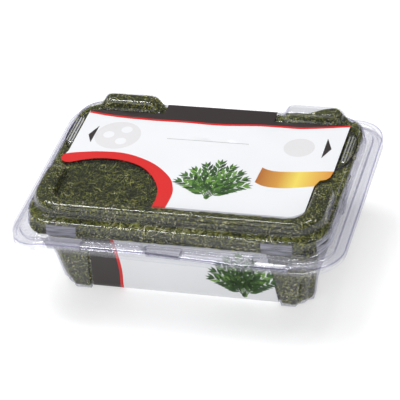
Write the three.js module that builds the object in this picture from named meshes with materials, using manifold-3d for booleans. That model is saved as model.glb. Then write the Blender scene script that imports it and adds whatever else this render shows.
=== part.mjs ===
// A clear hinged clamshell pack filled with dried dill weed.
// Millimetres, +Z up. The pack stands on the ground plane, centred on the origin,
// with its snap edge towards -Y and its living hinge towards +Y.
import * as THREE from 'three';
import { mergeVertices } from 'three/addons/utils/BufferGeometryUtils.js';
import Module from 'manifold-3d';

const wasm = await Module();
wasm.setup();

// Driving dimensions of the whole pack
const WALL = 0.45;
const GAP = 0.3;
const PACK_HALF_WIDTH = 50.8;
const PACK_FRONT = -37.6;
const PACK_HEIGHT = 33.7;

// Flanges, which meet all round the pack
const BASE_FLANGE_TOP = 24.35;
const LID_FLANGE_BOTTOM = BASE_FLANGE_TOP + GAP;
const FLANGE_REAR = 36.0;
const FLANGE_RADIUS_FRONT = 11;
const FLANGE_RADIUS_REAR = 10;
const SKIRT_BOTTOM = 22.8;

// Base tray
const BASE_MIDDLE_Y = 1.6;
const BASE_FLOOR_HALF_WIDTH = 38.4;
const BASE_RIM_HALF_WIDTH = 42.3;
const BASE_FLOOR_HALF_DEPTH = 27.0;
const BASE_RIM_HALF_DEPTH = 29.6;
const BASE_CORNER_LEG = 4.7;
const BASE_EDGE_RADIUS = 1.4;
const FLUTE_DEPTH = 0.45;
const FLUTES_PER_CORNER = 2;
const SIDE_RECESS_DEPTH = 1.1;
const SIDE_RECESS_HALF_LENGTH = 19.3;
const SIDE_RECESS_SLOPE = 0.8;
const BAND_DEPTH = 0.8;
const BAND_HALF_WIDTH_FLOOR = 29.3;
const BAND_HALF_WIDTH_RIM = 27.3;

// Lid dome, its ledge, top panel, raised ridge and rear lugs
const LEDGE_HEIGHT = 30.0;
const PANEL_HEIGHT = 30.7;
const SHOULDER_RADIUS = 0.9;
const SHOULDER_MIDDLE = SHOULDER_RADIUS * (1 - Math.SQRT1_2);
const DOME_FOOT = { halfWidth: 46.1, front: -33.2, rear: 32.3, radiusFront: 10.5, radiusRear: 8.5 };
const DOME_LEDGE = { halfWidth: 45.6, front: -32.2, rear: 31.8, radiusFront: 10, radiusRear: 8 };
const PANEL_FOOT = { halfWidth: 44.6, front: -29.5, rear: 30.8, radiusFront: 9.5, radiusRear: 7.5 };
const RIDGE_TOP = { halfWidth: 43.8, front: -27.9, rear: -8.5, radiusFront: 9.5, radiusRear: 2.6 };
const RIDGE_FOOT = { halfWidth: 44.6, front: -29.5, rear: -7.6, radiusFront: 10, radiusRear: 3.2 };
const WELL_FOOT = { halfWidth: 38.0, front: -24.2, rear: 20, radiusFront: 5.2, radiusRear: 2 };
const WELL_TOP = { halfWidth: 38.7, front: -24.9, rear: 20, radiusFront: 5.6, radiusRear: 2 };
const WELL_MOUTH_FLARE = 0.6;
const LUG_CENTRE_X = 29.3;
const LUG_FOOT = { halfWidth: 10.0, front: 26.0, rear: 31.6, radiusFront: 2.2, radiusRear: 2.2 };
const LUG_TOP = { halfWidth: 6.9, front: 26.8, rear: 31.4, radiusFront: 1.4, radiusRear: 1.4 };
const LUG_SHOULDER_SHARE = 0.72;

// Snap buttons of the lid, which press into pockets of the base flange
const SNAP_CENTRES_X = [-31.5, -1.2, 30.4];
const SNAP_WIDTH = 11.4;
const SNAP_DEPTH = 3.3;
const SNAP_MIDDLE_Y = -35.2;
const SNAP_BOTTOM = 22.2;

// Two D-shaped dispensing flaps under the seal label, and the openings that they cover
const FLAP_MIDDLE_Y = 14.3;
const FLAP_HALF_DEPTH = 10.6;
const FLAP_INNER_X = 16;
const FLAP_OUTER_X = 45.3;
const FLAP_ROUND_START_X = 38.6;
const FLAP_ROUNDING = 0.8;
const FLAP_THICKNESS = 0.4;
const DISPENSER_X = 28.6;
const DISPENSER_Y = 12.8;
const POUR_HOLE_RADIUS = 4.8;
const SHAKER_HOLE_RADIUS = 1.8;
const SHAKER_CIRCLE_RADIUS = 3.7;
const SHAKER_HOLES = 3;
const SHAKER_TURN = Math.PI / 6;
const HOLE_CUT_BOTTOM = LEDGE_HEIGHT - 3;

// Labels. The top one has a tab between the lugs, a neck at its front right, a small step up
// to its full width, and a round window at its front left
const LABEL_THICKNESS = 0.2;
const LABEL_HALF_WIDTH = 41.3;
const LABEL_TAB_HALF_WIDTH = 17.4;
const LABEL_TAB_REAR = 30.4;
const LABEL_SHOULDER_REAR = 25.4;
const LABEL_SHOULDER_SLANT_LEFT = -1.2;
const LABEL_SHOULDER_SLANT_RIGHT = 0.6;
const LABEL_FRONT = -23.4;
const LABEL_WINDOW_X = -8.0;
const LABEL_CORNER = { fromX: 32.4, controlX: 36.7, toX: 37.1, toY: -18.2 };
const LABEL_STEP = [[37.1, -6.2], [38.2, -3.0], [40.0, -2.4], [41.0, -0.3], [LABEL_HALF_WIDTH, 1.8]];
const LABEL_LEFT_END = { y: 1.6, control: [-42.6, -3.2], tip: [-39.1, -3.5] };
const LABEL_WINDOW = [
  [-35.0, -1.6, -29.5, -0.2, -22.5, -1.0],
  [-14.8, -2.6, -8.6, -10.0, -8.0, -18.6],
];
const FRONT_LABEL_TOP = 22.0;
const FRONT_LABEL_FOLD_END = -10;

// Living hinge
const HINGE_RADIUS = 0.65;
const HINGE_Y = FLANGE_REAR + GAP + HINGE_RADIUS;
const HINGE_Z = BASE_FLANGE_TOP + GAP / 2;
const HINGE_HALF_LENGTH = 38;
const HINGE_SIDES = 12;

// Dried dill
const DILL_FRONT_CLEARANCE = 0.9;
const DILL_SIDE_CLEARANCE = WALL + 2 * GAP;
const DILL_TOP = LEDGE_HEIGHT - WALL - GAP;
const DILL_JOIN = 0.1;

// Fineness of the curves, and how far a cutting block runs past what it cuts
const CORNER_STEPS = 7;
const EDGE_STEPS = 4;
const FLAP_STEPS = 16;
const CURVE_STEPS = 10;
const HOLE_SIDES = 20;
const MARGIN = 1;
const FAR = 120;

const PLASTIC = { color: 0xdfe3ee, roughness: 0.08, metalness: 0 };
const DILL = { color: 0x5a6a2c, roughness: 0.95, metalness: 0 };
const PAPER = { color: 0xe9eaec, roughness: 0.45, metalness: 0 };

function arcPoints(centreX, centreY, radius, fromAngle, toAngle, steps) {
  const points = [];
  for (let step = 0; step <= steps; step += 1) {
    const angle = fromAngle + ((toAngle - fromAngle) * step) / steps;
    points.push(new THREE.Vector2(centreX + radius * Math.cos(angle), centreY + radius * Math.sin(angle)));
  }
  return points;
}

// Counter-clockwise rounded rectangle, from the front right corner
function roundedOutline({ halfWidth, front, rear, radiusFront, radiusRear }) {
  const quarter = Math.PI / 2;
  const insideFront = halfWidth - radiusFront;
  const insideRear = halfWidth - radiusRear;
  return [
    ...arcPoints(insideFront, front + radiusFront, radiusFront, -quarter, 0, CORNER_STEPS),
    ...arcPoints(insideRear, rear - radiusRear, radiusRear, 0, quarter, CORNER_STEPS),
    ...arcPoints(-insideRear, rear - radiusRear, radiusRear, quarter, 2 * quarter, CORNER_STEPS),
    ...arcPoints(-insideFront, front + radiusFront, radiusFront, 2 * quarter, 3 * quarter, CORNER_STEPS),
  ];
}

// Moves a counter-clockwise outline inwards by a distance
function inset(outline, distance) {
  return outline.map((point, index) => {
    const before = outline[(index + outline.length - 1) % outline.length];
    const after = outline[(index + 1) % outline.length];
    const edgeIn = point.clone().sub(before).normalize();
    const edgeOut = after.clone().sub(point).normalize();
    const normal = new THREE.Vector2(-edgeIn.y - edgeOut.y, edgeIn.x + edgeOut.x).normalize();
    const reach = distance / (normal.x * -edgeIn.y + normal.y * edgeIn.x);
    return point.clone().addScaledVector(normal, reach);
  });
}

function blendSizes(from, to, share) {
  const mixed = {};
  for (const key of Object.keys(from)) {
    mixed[key] = from[key] + (to[key] - from[key]) * share;
  }
  return mixed;
}

function shrunk(sizes, amount) {
  return {
    halfWidth: sizes.halfWidth - amount,
    front: sizes.front + amount,
    rear: sizes.rear - amount,
    radiusFront: sizes.radiusFront - amount,
    radiusRear: sizes.radiusRear - amount,
  };
}

// Closed skin over outlines that have the same number of points, lowest level first
function loft(levels) {
  const positions = [];
  const indices = [];
  const count = levels[0].outline.length;
  for (const { outline, z } of levels) {
    for (const point of outline) {
      positions.push(point.x, point.y, z);
    }
  }
  for (let level = 0; level + 1 < levels.length; level += 1) {
    for (let corner = 0; corner < count; corner += 1) {
      const next = (corner + 1) % count;
      const low = level * count + corner;
      const lowNext = level * count + next;
      indices.push(low, lowNext, lowNext + count);
      indices.push(low, lowNext + count, low + count);
    }
  }
  const topStart = (levels.length - 1) * count;
  for (const [a, b, c] of THREE.ShapeUtils.triangulateShape(levels[0].outline, [])) {
    indices.push(a, c, b);
  }
  for (const [a, b, c] of THREE.ShapeUtils.triangulateShape(levels[levels.length - 1].outline, [])) {
    indices.push(topStart + a, topStart + b, topStart + c);
  }
  const geometry = new THREE.BufferGeometry();
  geometry.setAttribute('position', new THREE.Float32BufferAttribute(positions, 3));
  geometry.setIndex(indices);
  return toSolid(geometry);
}

function toSolid(geometry) {
  const bare = geometry.clone();
  bare.deleteAttribute('normal');
  bare.deleteAttribute('uv');
  const merged = mergeVertices(bare, 1e-4);
  return new wasm.Manifold(new wasm.Mesh({
    numProp: 3,
    vertProperties: new Float32Array(merged.attributes.position.array),
    triVerts: new Uint32Array(merged.index.array),
  }));
}

function toGeometry(solid) {
  const { vertProperties, triVerts } = solid.getMesh();
  const geometry = new THREE.BufferGeometry();
  geometry.setAttribute('position', new THREE.BufferAttribute(vertProperties, 3));
  geometry.setIndex(new THREE.BufferAttribute(triVerts, 1));
  const flat = geometry.toNonIndexed();
  flat.computeVertexNormals();
  return flat;
}

function piece(name, solid, finish) {
  const mesh = new THREE.Mesh(toGeometry(solid), new THREE.MeshStandardMaterial(finish));
  mesh.name = name;
  return mesh;
}

function unite(solids) {
  return solids.reduce((sum, next) => sum.add(next));
}

function prism(outline, bottom, top) {
  return loft([{ outline, z: bottom }, { outline, z: top }]);
}

function block(fromX, toX, fromY, toY, bottom, top) {
  const geometry = new THREE.BoxGeometry(toX - fromX, toY - fromY, top - bottom);
  geometry.translate((fromX + toX) / 2, (fromY + toY) / 2, (bottom + top) / 2);
  return toSolid(geometry);
}

function roundPost(x, y, radius, bottom, top) {
  const geometry = new THREE.CylinderGeometry(radius, radius, top - bottom, HOLE_SIDES);
  geometry.rotateX(Math.PI / 2);
  geometry.translate(x, y, (bottom + top) / 2);
  return toSolid(geometry);
}

function shifted(outline, x) {
  return outline.map((point) => new THREE.Vector2(point.x + x, point.y));
}

// Outline of the tray wall at a height, pulled in by a depth: a rectangle whose cut corners
// carry upright flutes and whose short sides are recessed between them
function trayOutline(z, depth) {
  const share = z / BASE_FLANGE_TOP;
  const halfWidth = BASE_FLOOR_HALF_WIDTH + (BASE_RIM_HALF_WIDTH - BASE_FLOOR_HALF_WIDTH) * share - depth;
  const halfDepth = BASE_FLOOR_HALF_DEPTH + (BASE_RIM_HALF_DEPTH - BASE_FLOOR_HALF_DEPTH) * share - depth;
  const leg = BASE_CORNER_LEG - (2 - Math.SQRT2) * depth;
  const folds = 2 * FLUTES_PER_CORNER + 1;
  const corner = [];
  for (let fold = 0; fold <= folds; fold += 1) {
    const along = fold / folds;
    const deep = fold > 0 && fold % 2 === 0 ? FLUTE_DEPTH * Math.SQRT1_2 : 0;
    corner.push(new THREE.Vector2(halfWidth - leg * (1 - along) - deep, -halfDepth + leg * along + deep));
  }
  const recessRun = Math.hypot(SIDE_RECESS_DEPTH, SIDE_RECESS_SLOPE);
  const recessShift = (depth * SIDE_RECESS_DEPTH) / (recessRun + SIDE_RECESS_SLOPE);
  const recessStart = -SIDE_RECESS_HALF_LENGTH - recessShift;
  corner.push(new THREE.Vector2(halfWidth, recessStart));
  corner.push(new THREE.Vector2(halfWidth - SIDE_RECESS_DEPTH, recessStart + SIDE_RECESS_SLOPE));
  const right = [...corner, ...corner.map((point) => new THREE.Vector2(point.x, -point.y)).reverse()];
  const left = right.map((point) => new THREE.Vector2(-point.x, point.y)).reverse();
  return [...right, ...left].map((point) => new THREE.Vector2(point.x, point.y + BASE_MIDDLE_Y));
}

// The whole tray body, shrunk by a depth on every side but its open top
function trayBody(depth, top) {
  const levels = [];
  for (let step = 0; step <= EDGE_STEPS; step += 1) {
    const angle = (Math.PI / 2) * (step / EDGE_STEPS);
    const z = BASE_EDGE_RADIUS * (1 - Math.cos(angle));
    const pulledIn = BASE_EDGE_RADIUS * (1 - Math.sin(angle));
    levels.push({ outline: trayOutline(z, pulledIn + depth), z: z + depth });
  }
  levels.push({ outline: trayOutline(top, depth), z: top });
  return loft(levels);
}

// A recessed band runs down the front, under the floor and up the rear, between the corners
function bandPrism(extra) {
  const low = BAND_HALF_WIDTH_FLOOR + extra;
  const high = BAND_HALF_WIDTH_RIM + extra;
  const outlineAt = (half) => [
    new THREE.Vector2(half, -FAR),
    new THREE.Vector2(half, FAR),
    new THREE.Vector2(-half, FAR),
    new THREE.Vector2(-half, -FAR),
  ];
  return loft([
    { outline: outlineAt(low), z: -MARGIN },
    { outline: outlineAt(high), z: BASE_FLANGE_TOP + MARGIN },
  ]);
}

function bandedTray(depth, top) {
  const band = bandPrism(depth).subtract(trayBody(BAND_DEPTH + depth, BASE_FLANGE_TOP + 2 * MARGIN));
  return trayBody(depth, top).subtract(band);
}

function flangeOutline() {
  return roundedOutline({
    halfWidth: PACK_HALF_WIDTH,
    front: PACK_FRONT,
    rear: FLANGE_REAR,
    radiusFront: FLANGE_RADIUS_FRONT,
    radiusRear: FLANGE_RADIUS_REAR,
  });
}

function snapBlock(centreX, shrink, bottom, top) {
  const halfWidth = SNAP_WIDTH / 2 - shrink;
  const halfDepth = SNAP_DEPTH / 2 - shrink;
  return block(centreX - halfWidth, centreX + halfWidth, SNAP_MIDDLE_Y - halfDepth,
    SNAP_MIDDLE_Y + halfDepth, bottom, top);
}

function baseTray() {
  const flangeBottom = BASE_FLANGE_TOP - WALL;
  const skirt = prism(flangeOutline(), SKIRT_BOTTOM, BASE_FLANGE_TOP)
    .subtract(prism(inset(flangeOutline(), WALL), SKIRT_BOTTOM - MARGIN, flangeBottom));
  const pockets = SNAP_CENTRES_X.map((x) => snapBlock(x, 0, SNAP_BOTTOM, BASE_FLANGE_TOP));
  const hollows = SNAP_CENTRES_X.map((x) => snapBlock(x, WALL, SNAP_BOTTOM + WALL, FAR));
  const outside = unite([bandedTray(0, BASE_FLANGE_TOP), skirt, ...pockets]);
  return outside.subtract(bandedTray(WALL, BASE_FLANGE_TOP + MARGIN)).subtract(unite(hollows));
}

// Outline of one flap: straight sides and a round outer end, squarer than an ellipse
function flapOutline(side, grow) {
  const endRadius = FLAP_HALF_DEPTH + grow;
  const reach = FLAP_OUTER_X + grow - FLAP_ROUND_START_X;
  const outline = arcPoints(0, 0, 1, -Math.PI / 2, Math.PI / 2, FLAP_STEPS).map((point) => new THREE.Vector2(
    side * (FLAP_ROUND_START_X + reach * Math.abs(point.x) ** FLAP_ROUNDING),
    FLAP_MIDDLE_Y + endRadius * Math.sign(point.y) * Math.abs(point.y) ** FLAP_ROUNDING,
  ));
  outline.push(new THREE.Vector2(side * (FLAP_INNER_X - grow), FLAP_MIDDLE_Y + endRadius));
  outline.push(new THREE.Vector2(side * (FLAP_INNER_X - grow), FLAP_MIDDLE_Y - endRadius));
  return side > 0 ? outline : outline.reverse();
}

// One skin of the lid, pulled in by a depth: dome, panel, ridge and lugs together
function lidSkin(depth) {
  const level = (sizes, z) => ({ outline: inset(roundedOutline(sizes), depth), z: z - depth });
  const nearTop = (LEDGE_HEIGHT - SHOULDER_RADIUS - LID_FLANGE_BOTTOM) / (LEDGE_HEIGHT - LID_FLANGE_BOTTOM);
  const dome = loft([
    { outline: inset(roundedOutline(DOME_FOOT), depth), z: LID_FLANGE_BOTTOM - (depth > 0 ? MARGIN : 0) },
    level(blendSizes(DOME_FOOT, DOME_LEDGE, nearTop), LEDGE_HEIGHT - SHOULDER_RADIUS),
    level(shrunk(DOME_LEDGE, SHOULDER_MIDDLE), LEDGE_HEIGHT - SHOULDER_MIDDLE),
    level(shrunk(DOME_LEDGE, SHOULDER_RADIUS), LEDGE_HEIGHT),
  ]);
  const pocketFloor = LEDGE_HEIGHT - depth;
  const pockets = [-1, 1].map((side) => prism(flapOutline(side, GAP + depth), pocketFloor, FAR));
  const panel = loft([level(PANEL_FOOT, LEDGE_HEIGHT - MARGIN), level(PANEL_FOOT, PANEL_HEIGHT)])
    .subtract(unite(pockets));
  const ridgeShoulder = PACK_HEIGHT - SHOULDER_RADIUS;
  const ridge = loft([
    level(RIDGE_FOOT, LEDGE_HEIGHT - MARGIN),
    level(RIDGE_FOOT, LEDGE_HEIGHT),
    level(RIDGE_TOP, ridgeShoulder),
    level(shrunk(RIDGE_TOP, SHOULDER_MIDDLE), PACK_HEIGHT - SHOULDER_MIDDLE),
    level(shrunk(RIDGE_TOP, SHOULDER_RADIUS), PACK_HEIGHT),
  ]);
  const well = loft([
    { outline: inset(roundedOutline(WELL_FOOT), -depth), z: PANEL_HEIGHT - depth },
    { outline: inset(roundedOutline(WELL_TOP), -depth), z: PACK_HEIGHT - depth },
    { outline: inset(roundedOutline(WELL_TOP), -depth - WELL_MOUTH_FLARE), z: PACK_HEIGHT + MARGIN },
  ]);
  const lugs = [-1, 1].map((side) => {
    const outlineOf = (sizes) => shifted(inset(roundedOutline(sizes), depth), side * LUG_CENTRE_X);
    const lugShoulder = blendSizes(LUG_FOOT, LUG_TOP, LUG_SHOULDER_SHARE);
    return loft([
      { outline: outlineOf(LUG_FOOT), z: LEDGE_HEIGHT - MARGIN },
      { outline: outlineOf(LUG_FOOT), z: PANEL_HEIGHT - depth },
      { outline: outlineOf(lugShoulder), z: ridgeShoulder - depth },
      { outline: outlineOf(LUG_TOP), z: PACK_HEIGHT - depth },
    ]);
  });
  return unite([dome, panel, ridge.subtract(well), ...lugs]);
}

function dispenserHoles() {
  const holes = [roundPost(DISPENSER_X, DISPENSER_Y, POUR_HOLE_RADIUS, HOLE_CUT_BOTTOM, FAR)];
  for (let hole = 0; hole < SHAKER_HOLES; hole += 1) {
    const angle = SHAKER_TURN + (2 * Math.PI * hole) / SHAKER_HOLES;
    const x = -DISPENSER_X + SHAKER_CIRCLE_RADIUS * Math.cos(angle);
    const y = DISPENSER_Y + SHAKER_CIRCLE_RADIUS * Math.sin(angle);
    holes.push(roundPost(x, y, SHAKER_HOLE_RADIUS, HOLE_CUT_BOTTOM, FAR));
  }
  return unite(holes);
}

function lid() {
  const flange = prism(flangeOutline(), LID_FLANGE_BOTTOM, LID_FLANGE_BOTTOM + WALL);
  const buttonBottom = SNAP_BOTTOM + WALL + GAP;
  const buttons = SNAP_CENTRES_X.map((x) => snapBlock(x, WALL + GAP, buttonBottom, LID_FLANGE_BOTTOM + WALL));
  const hollows = SNAP_CENTRES_X.map((x) => snapBlock(x, 2 * WALL + GAP, buttonBottom + WALL, LEDGE_HEIGHT));
  return unite([lidSkin(0), flange, ...buttons])
    .subtract(lidSkin(WALL))
    .subtract(unite(hollows).intersect(block(-FAR, FAR, -FAR, DOME_FOOT.front, 0, FAR)))
    .subtract(dispenserHoles());
}

function livingHinge() {
  const geometry = new THREE.CylinderGeometry(HINGE_RADIUS, HINGE_RADIUS, 2 * HINGE_HALF_LENGTH, HINGE_SIDES);
  geometry.rotateZ(Math.PI / 2);
  geometry.translate(0, HINGE_Y, HINGE_Z);
  return toSolid(geometry);
}

// A flap rests in its pocket of the panel
function flap(side) {
  const bottom = LEDGE_HEIGHT + GAP;
  return prism(flapOutline(side, 0), bottom, bottom + FLAP_THICKNESS);
}

// Seal label over the flaps
function topLabel() {
  const shape = new THREE.Shape();
  shape.moveTo(LABEL_WINDOW_X, LABEL_FRONT);
  shape.lineTo(LABEL_CORNER.fromX, LABEL_FRONT);
  shape.quadraticCurveTo(LABEL_CORNER.controlX, LABEL_FRONT, LABEL_CORNER.toX, LABEL_CORNER.toY);
  for (const [x, y] of LABEL_STEP) {
    shape.lineTo(x, y);
  }
  shape.lineTo(LABEL_HALF_WIDTH, LABEL_SHOULDER_REAR + LABEL_SHOULDER_SLANT_RIGHT);
  shape.lineTo(LABEL_TAB_HALF_WIDTH, LABEL_SHOULDER_REAR + LABEL_SHOULDER_SLANT_LEFT);
  shape.lineTo(LABEL_TAB_HALF_WIDTH, LABEL_TAB_REAR);
  shape.lineTo(-LABEL_TAB_HALF_WIDTH, LABEL_TAB_REAR);
  shape.lineTo(-LABEL_TAB_HALF_WIDTH, LABEL_SHOULDER_REAR + LABEL_SHOULDER_SLANT_LEFT);
  shape.lineTo(-LABEL_HALF_WIDTH, LABEL_SHOULDER_REAR);
  shape.lineTo(-LABEL_HALF_WIDTH, LABEL_LEFT_END.y);
  shape.quadraticCurveTo(...LABEL_LEFT_END.control, ...LABEL_LEFT_END.tip);
  for (const curve of LABEL_WINDOW) {
    shape.bezierCurveTo(...curve);
  }
  shape.closePath();
  const geometry = new THREE.ExtrudeGeometry(shape, {
    depth: LABEL_THICKNESS, bevelEnabled: false, curveSegments: CURVE_STEPS,
  });
  geometry.translate(0, 0, PANEL_HEIGHT + GAP);
  return toSolid(geometry);
}

// Front label: lies in the recessed band and folds under the floor
function frontLabel() {
  const skinDepth = BAND_DEPTH - GAP - LABEL_THICKNESS;
  const skin = trayBody(skinDepth, FRONT_LABEL_TOP)
    .subtract(trayBody(skinDepth + LABEL_THICKNESS, FRONT_LABEL_TOP + MARGIN));
  const reach = block(-FAR, FAR, -FAR, FRONT_LABEL_FOLD_END, -MARGIN, FAR);
  return skin.intersect(bandPrism(-GAP)).intersect(reach);
}

// Dill that fills the tray and the dome; it clears the moving parts by a little at the front
function dillFill() {
  const below = bandedTray(WALL + GAP, LID_FLANGE_BOTTOM + DILL_JOIN);
  const spread = inset(roundedOutline(DOME_FOOT), DILL_SIDE_CLEARANCE);
  const pulled = inset(roundedOutline(DOME_LEDGE), DILL_SIDE_CLEARANCE);
  const slope = loft([{ outline: spread, z: LID_FLANGE_BOTTOM }, { outline: pulled, z: DILL_TOP }]);
  const kept = block(-FAR, FAR, DOME_LEDGE.front + WALL + DILL_FRONT_CLEARANCE, FAR, 0, FAR);
  return below.add(slope.intersect(kept));
}

// Dill in a raised part of the lid, above a foot outline
function dillAbove(footOutline) {
  return lidSkin(WALL + GAP).intersect(prism(footOutline, DILL_TOP + GAP, FAR));
}

function dillInRidge() {
  const depth = WALL + GAP;
  const well = prism(inset(roundedOutline(WELL_FOOT), -depth), 0, FAR);
  return dillAbove(inset(roundedOutline(RIDGE_FOOT), depth)).subtract(well);
}

function dillInLug(side) {
  return dillAbove(shifted(inset(roundedOutline(LUG_FOOT), WALL + GAP), side * LUG_CENTRE_X));
}

const group = new THREE.Group();
group.add(piece('base_tray', baseTray(), PLASTIC));
group.add(piece('lid', lid(), PLASTIC));
group.add(piece('living_hinge', livingHinge(), PLASTIC));
group.add(piece('flap_left', flap(-1), PLASTIC));
group.add(piece('flap_right', flap(1), PLASTIC));
group.add(piece('top_label', topLabel(), PAPER));
group.add(piece('front_label', frontLabel(), PAPER));
group.add(piece('dill_fill', dillFill(), DILL));
group.add(piece('dill_in_ridge', dillInRidge(), DILL));
group.add(piece('dill_in_left_lug', dillInLug(-1), DILL));
group.add(piece('dill_in_right_lug', dillInLug(1), DILL));

export default group;
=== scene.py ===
"""A clear hinged clamshell pack filled with dried dill weed.

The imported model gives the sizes. This script makes the fine clear sheet, the printed labels
and the loose flakes, and sets the light and the camera. Shapes are worked out in millimetres
and written to meshes in metres.
"""
import logging
import math
from dataclasses import dataclass
from enum import Enum, IntEnum
from typing import Callable, Iterable, Sequence, Union

import bmesh
import bpy
import numpy as np
from mathutils import Matrix, Vector
from mathutils.geometry import delaunay_2d_cdt


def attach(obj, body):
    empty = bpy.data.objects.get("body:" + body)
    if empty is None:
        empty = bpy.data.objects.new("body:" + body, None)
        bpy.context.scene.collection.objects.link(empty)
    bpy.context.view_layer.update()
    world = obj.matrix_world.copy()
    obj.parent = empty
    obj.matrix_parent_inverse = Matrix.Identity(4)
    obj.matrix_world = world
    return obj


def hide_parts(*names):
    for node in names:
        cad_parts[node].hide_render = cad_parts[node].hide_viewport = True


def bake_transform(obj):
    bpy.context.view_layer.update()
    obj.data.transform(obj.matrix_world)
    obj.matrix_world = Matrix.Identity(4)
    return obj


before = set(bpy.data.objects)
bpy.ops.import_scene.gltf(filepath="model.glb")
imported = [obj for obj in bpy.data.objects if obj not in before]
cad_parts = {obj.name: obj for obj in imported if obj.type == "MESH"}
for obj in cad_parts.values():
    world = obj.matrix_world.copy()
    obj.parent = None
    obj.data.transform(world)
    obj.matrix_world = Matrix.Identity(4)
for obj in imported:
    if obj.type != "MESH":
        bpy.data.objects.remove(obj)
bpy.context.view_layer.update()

MM = 0.001
PER_SQUARE_METRE = 1e6
NO_LENGTH = 1e-7
INK_FILM = 0.02
LOG = logging.getLogger("dill_pack")

Array = np.ndarray
Piece = bpy.types.Object
Material = bpy.types.Material
Node = bpy.types.Node
Socket = bpy.types.NodeSocket
Value = Union[float, Socket]
Field = Callable[[Array, Array], Array]
Placing = Callable[[Array], Array]
Floats = tuple[float, ...]
Pair = tuple[float, float]
Triple = tuple[float, float, float]
Window = tuple[float, float, float, float]
Line = list[Pair]
Plan = Sequence[Pair]
Section = tuple[Sequence[float], Sequence[float]]


class Body(Enum):
    """The two rigid bodies of the pack."""

    BASE = "base_body"
    LID = "lid_body"


class Slot(Enum):
    """The record's material slots."""

    PLASTIC = "clear_plastic"
    LABEL = "printed_label"
    DILL = "dill"


def smooth_share(value: Array) -> Array:
    """Eases a share from 0 to 1, flat at both ends."""
    held = np.clip(value, 0.0, 1.0)
    return held * held * (3.0 - 2.0 * held)


@dataclass(frozen=True)
class Ease:
    """A share that grows smoothly from 0 at a start to 1 a width further on.

    With a negative width it grows towards lower values.
    """

    start: float
    width: float

    def at(self, value: Array) -> Array:
        """The share at a value."""
        return smooth_share((value - self.start) / self.width)


@dataclass(frozen=True)
class RoundedPlan:
    """A rectangle with round corners, seen from above, in millimetres."""

    half_width: float
    front: float
    rear: float
    radius_front: float
    radius_rear: float
    centre_x: float = 0.0

    def depth(self, x: Array, y: Array) -> Array:
        """Distance inside the outline.

        Args:
            x: Places along the width.
            y: Places along the depth.

        Returns:
            Positive inside, negative outside.
        """
        middle = (self.front + self.rear) / 2
        half_depth = (self.rear - self.front) / 2
        radius = np.where(y < middle, self.radius_front, self.radius_rear)
        over_x = np.abs(x - self.centre_x) - (self.half_width - radius)
        over_y = np.abs(y - middle) - (half_depth - radius)
        outside = np.hypot(np.maximum(over_x, 0), np.maximum(over_y, 0))
        return radius - outside - np.minimum(np.maximum(over_x, over_y), 0)

    def outline(self, corner_steps: int = 14) -> Line:
        """The outline, counter-clockwise from the front right corner.

        Args:
            corner_steps: Steps round each corner.

        Returns:
            The points.
        """
        points = []
        corners = (
            (1, self.front + self.radius_front, self.radius_front, -90),
            (1, self.rear - self.radius_rear, self.radius_rear, 0),
            (-1, self.rear - self.radius_rear, self.radius_rear, 90),
            (-1, self.front + self.radius_front, self.radius_front, 180),
        )
        for side, centre_y, radius, start in corners:
            centre_x = self.centre_x + side * (self.half_width - radius)
            for step in range(corner_steps + 1):
                angle = math.radians(start + 90 * step / corner_steps)
                points.append((centre_x + radius * math.cos(angle), centre_y + radius * math.sin(angle)))
        return points


@dataclass(frozen=True)
class Wall:
    """A drafted wall with a fillet at its foot and a rounded shoulder."""

    rise: float
    run: float
    foot: float
    shoulder: float

    def profile(self) -> tuple[Array, Array]:
        """The wall's section.

        Returns:
            Distances inside the foot line, and the height gained at each.
        """
        steep = math.hypot(self.run, self.rise)
        away, up = self.run / steep, self.rise / steep
        share = np.linspace(0, 1, 6)
        foot_x = (1 - share) ** 2 * -self.foot + share**2 * self.foot * away
        foot_z = share**2 * self.foot * up
        top_x = (1 - share) ** 2 * (self.run - self.shoulder * away) + 2 * share * (1 - share) * self.run
        top_x = top_x + share**2 * (self.run + self.shoulder)
        top_z = (1 - share) ** 2 * (self.rise - self.shoulder * up) + (1 - (1 - share) ** 2) * self.rise
        return np.concatenate([foot_x, top_x]), np.concatenate([foot_z, top_z])

    def at(self, depth: Array) -> Array:
        """Height gained at a distance inside the foot line."""
        distances, heights = self.profile()
        return np.interp(depth, distances, heights)

    def levels(self) -> Array:
        """The distances at which the section bends."""
        return self.profile()[0]


@dataclass(frozen=True)
class Bead:
    """A half-round bead that follows an outline."""

    inner: float
    outer: float
    rise: float
    flatness: float = 0.8

    def at(self, depth: Array) -> Array:
        """Height gained at a distance inside the outline."""
        across = np.clip((depth - self.outer) / (self.inner - self.outer), 0, 1)
        return self.rise * np.sin(np.pi * across) ** self.flatness

    def levels(self) -> Array:
        """The distances at which the bead is drawn."""
        shares = np.array([0, 0.06, 0.15, 0.28, 0.5, 0.72, 0.85, 0.94, 1])
        return self.outer + (self.inner - self.outer) * shares


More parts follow.
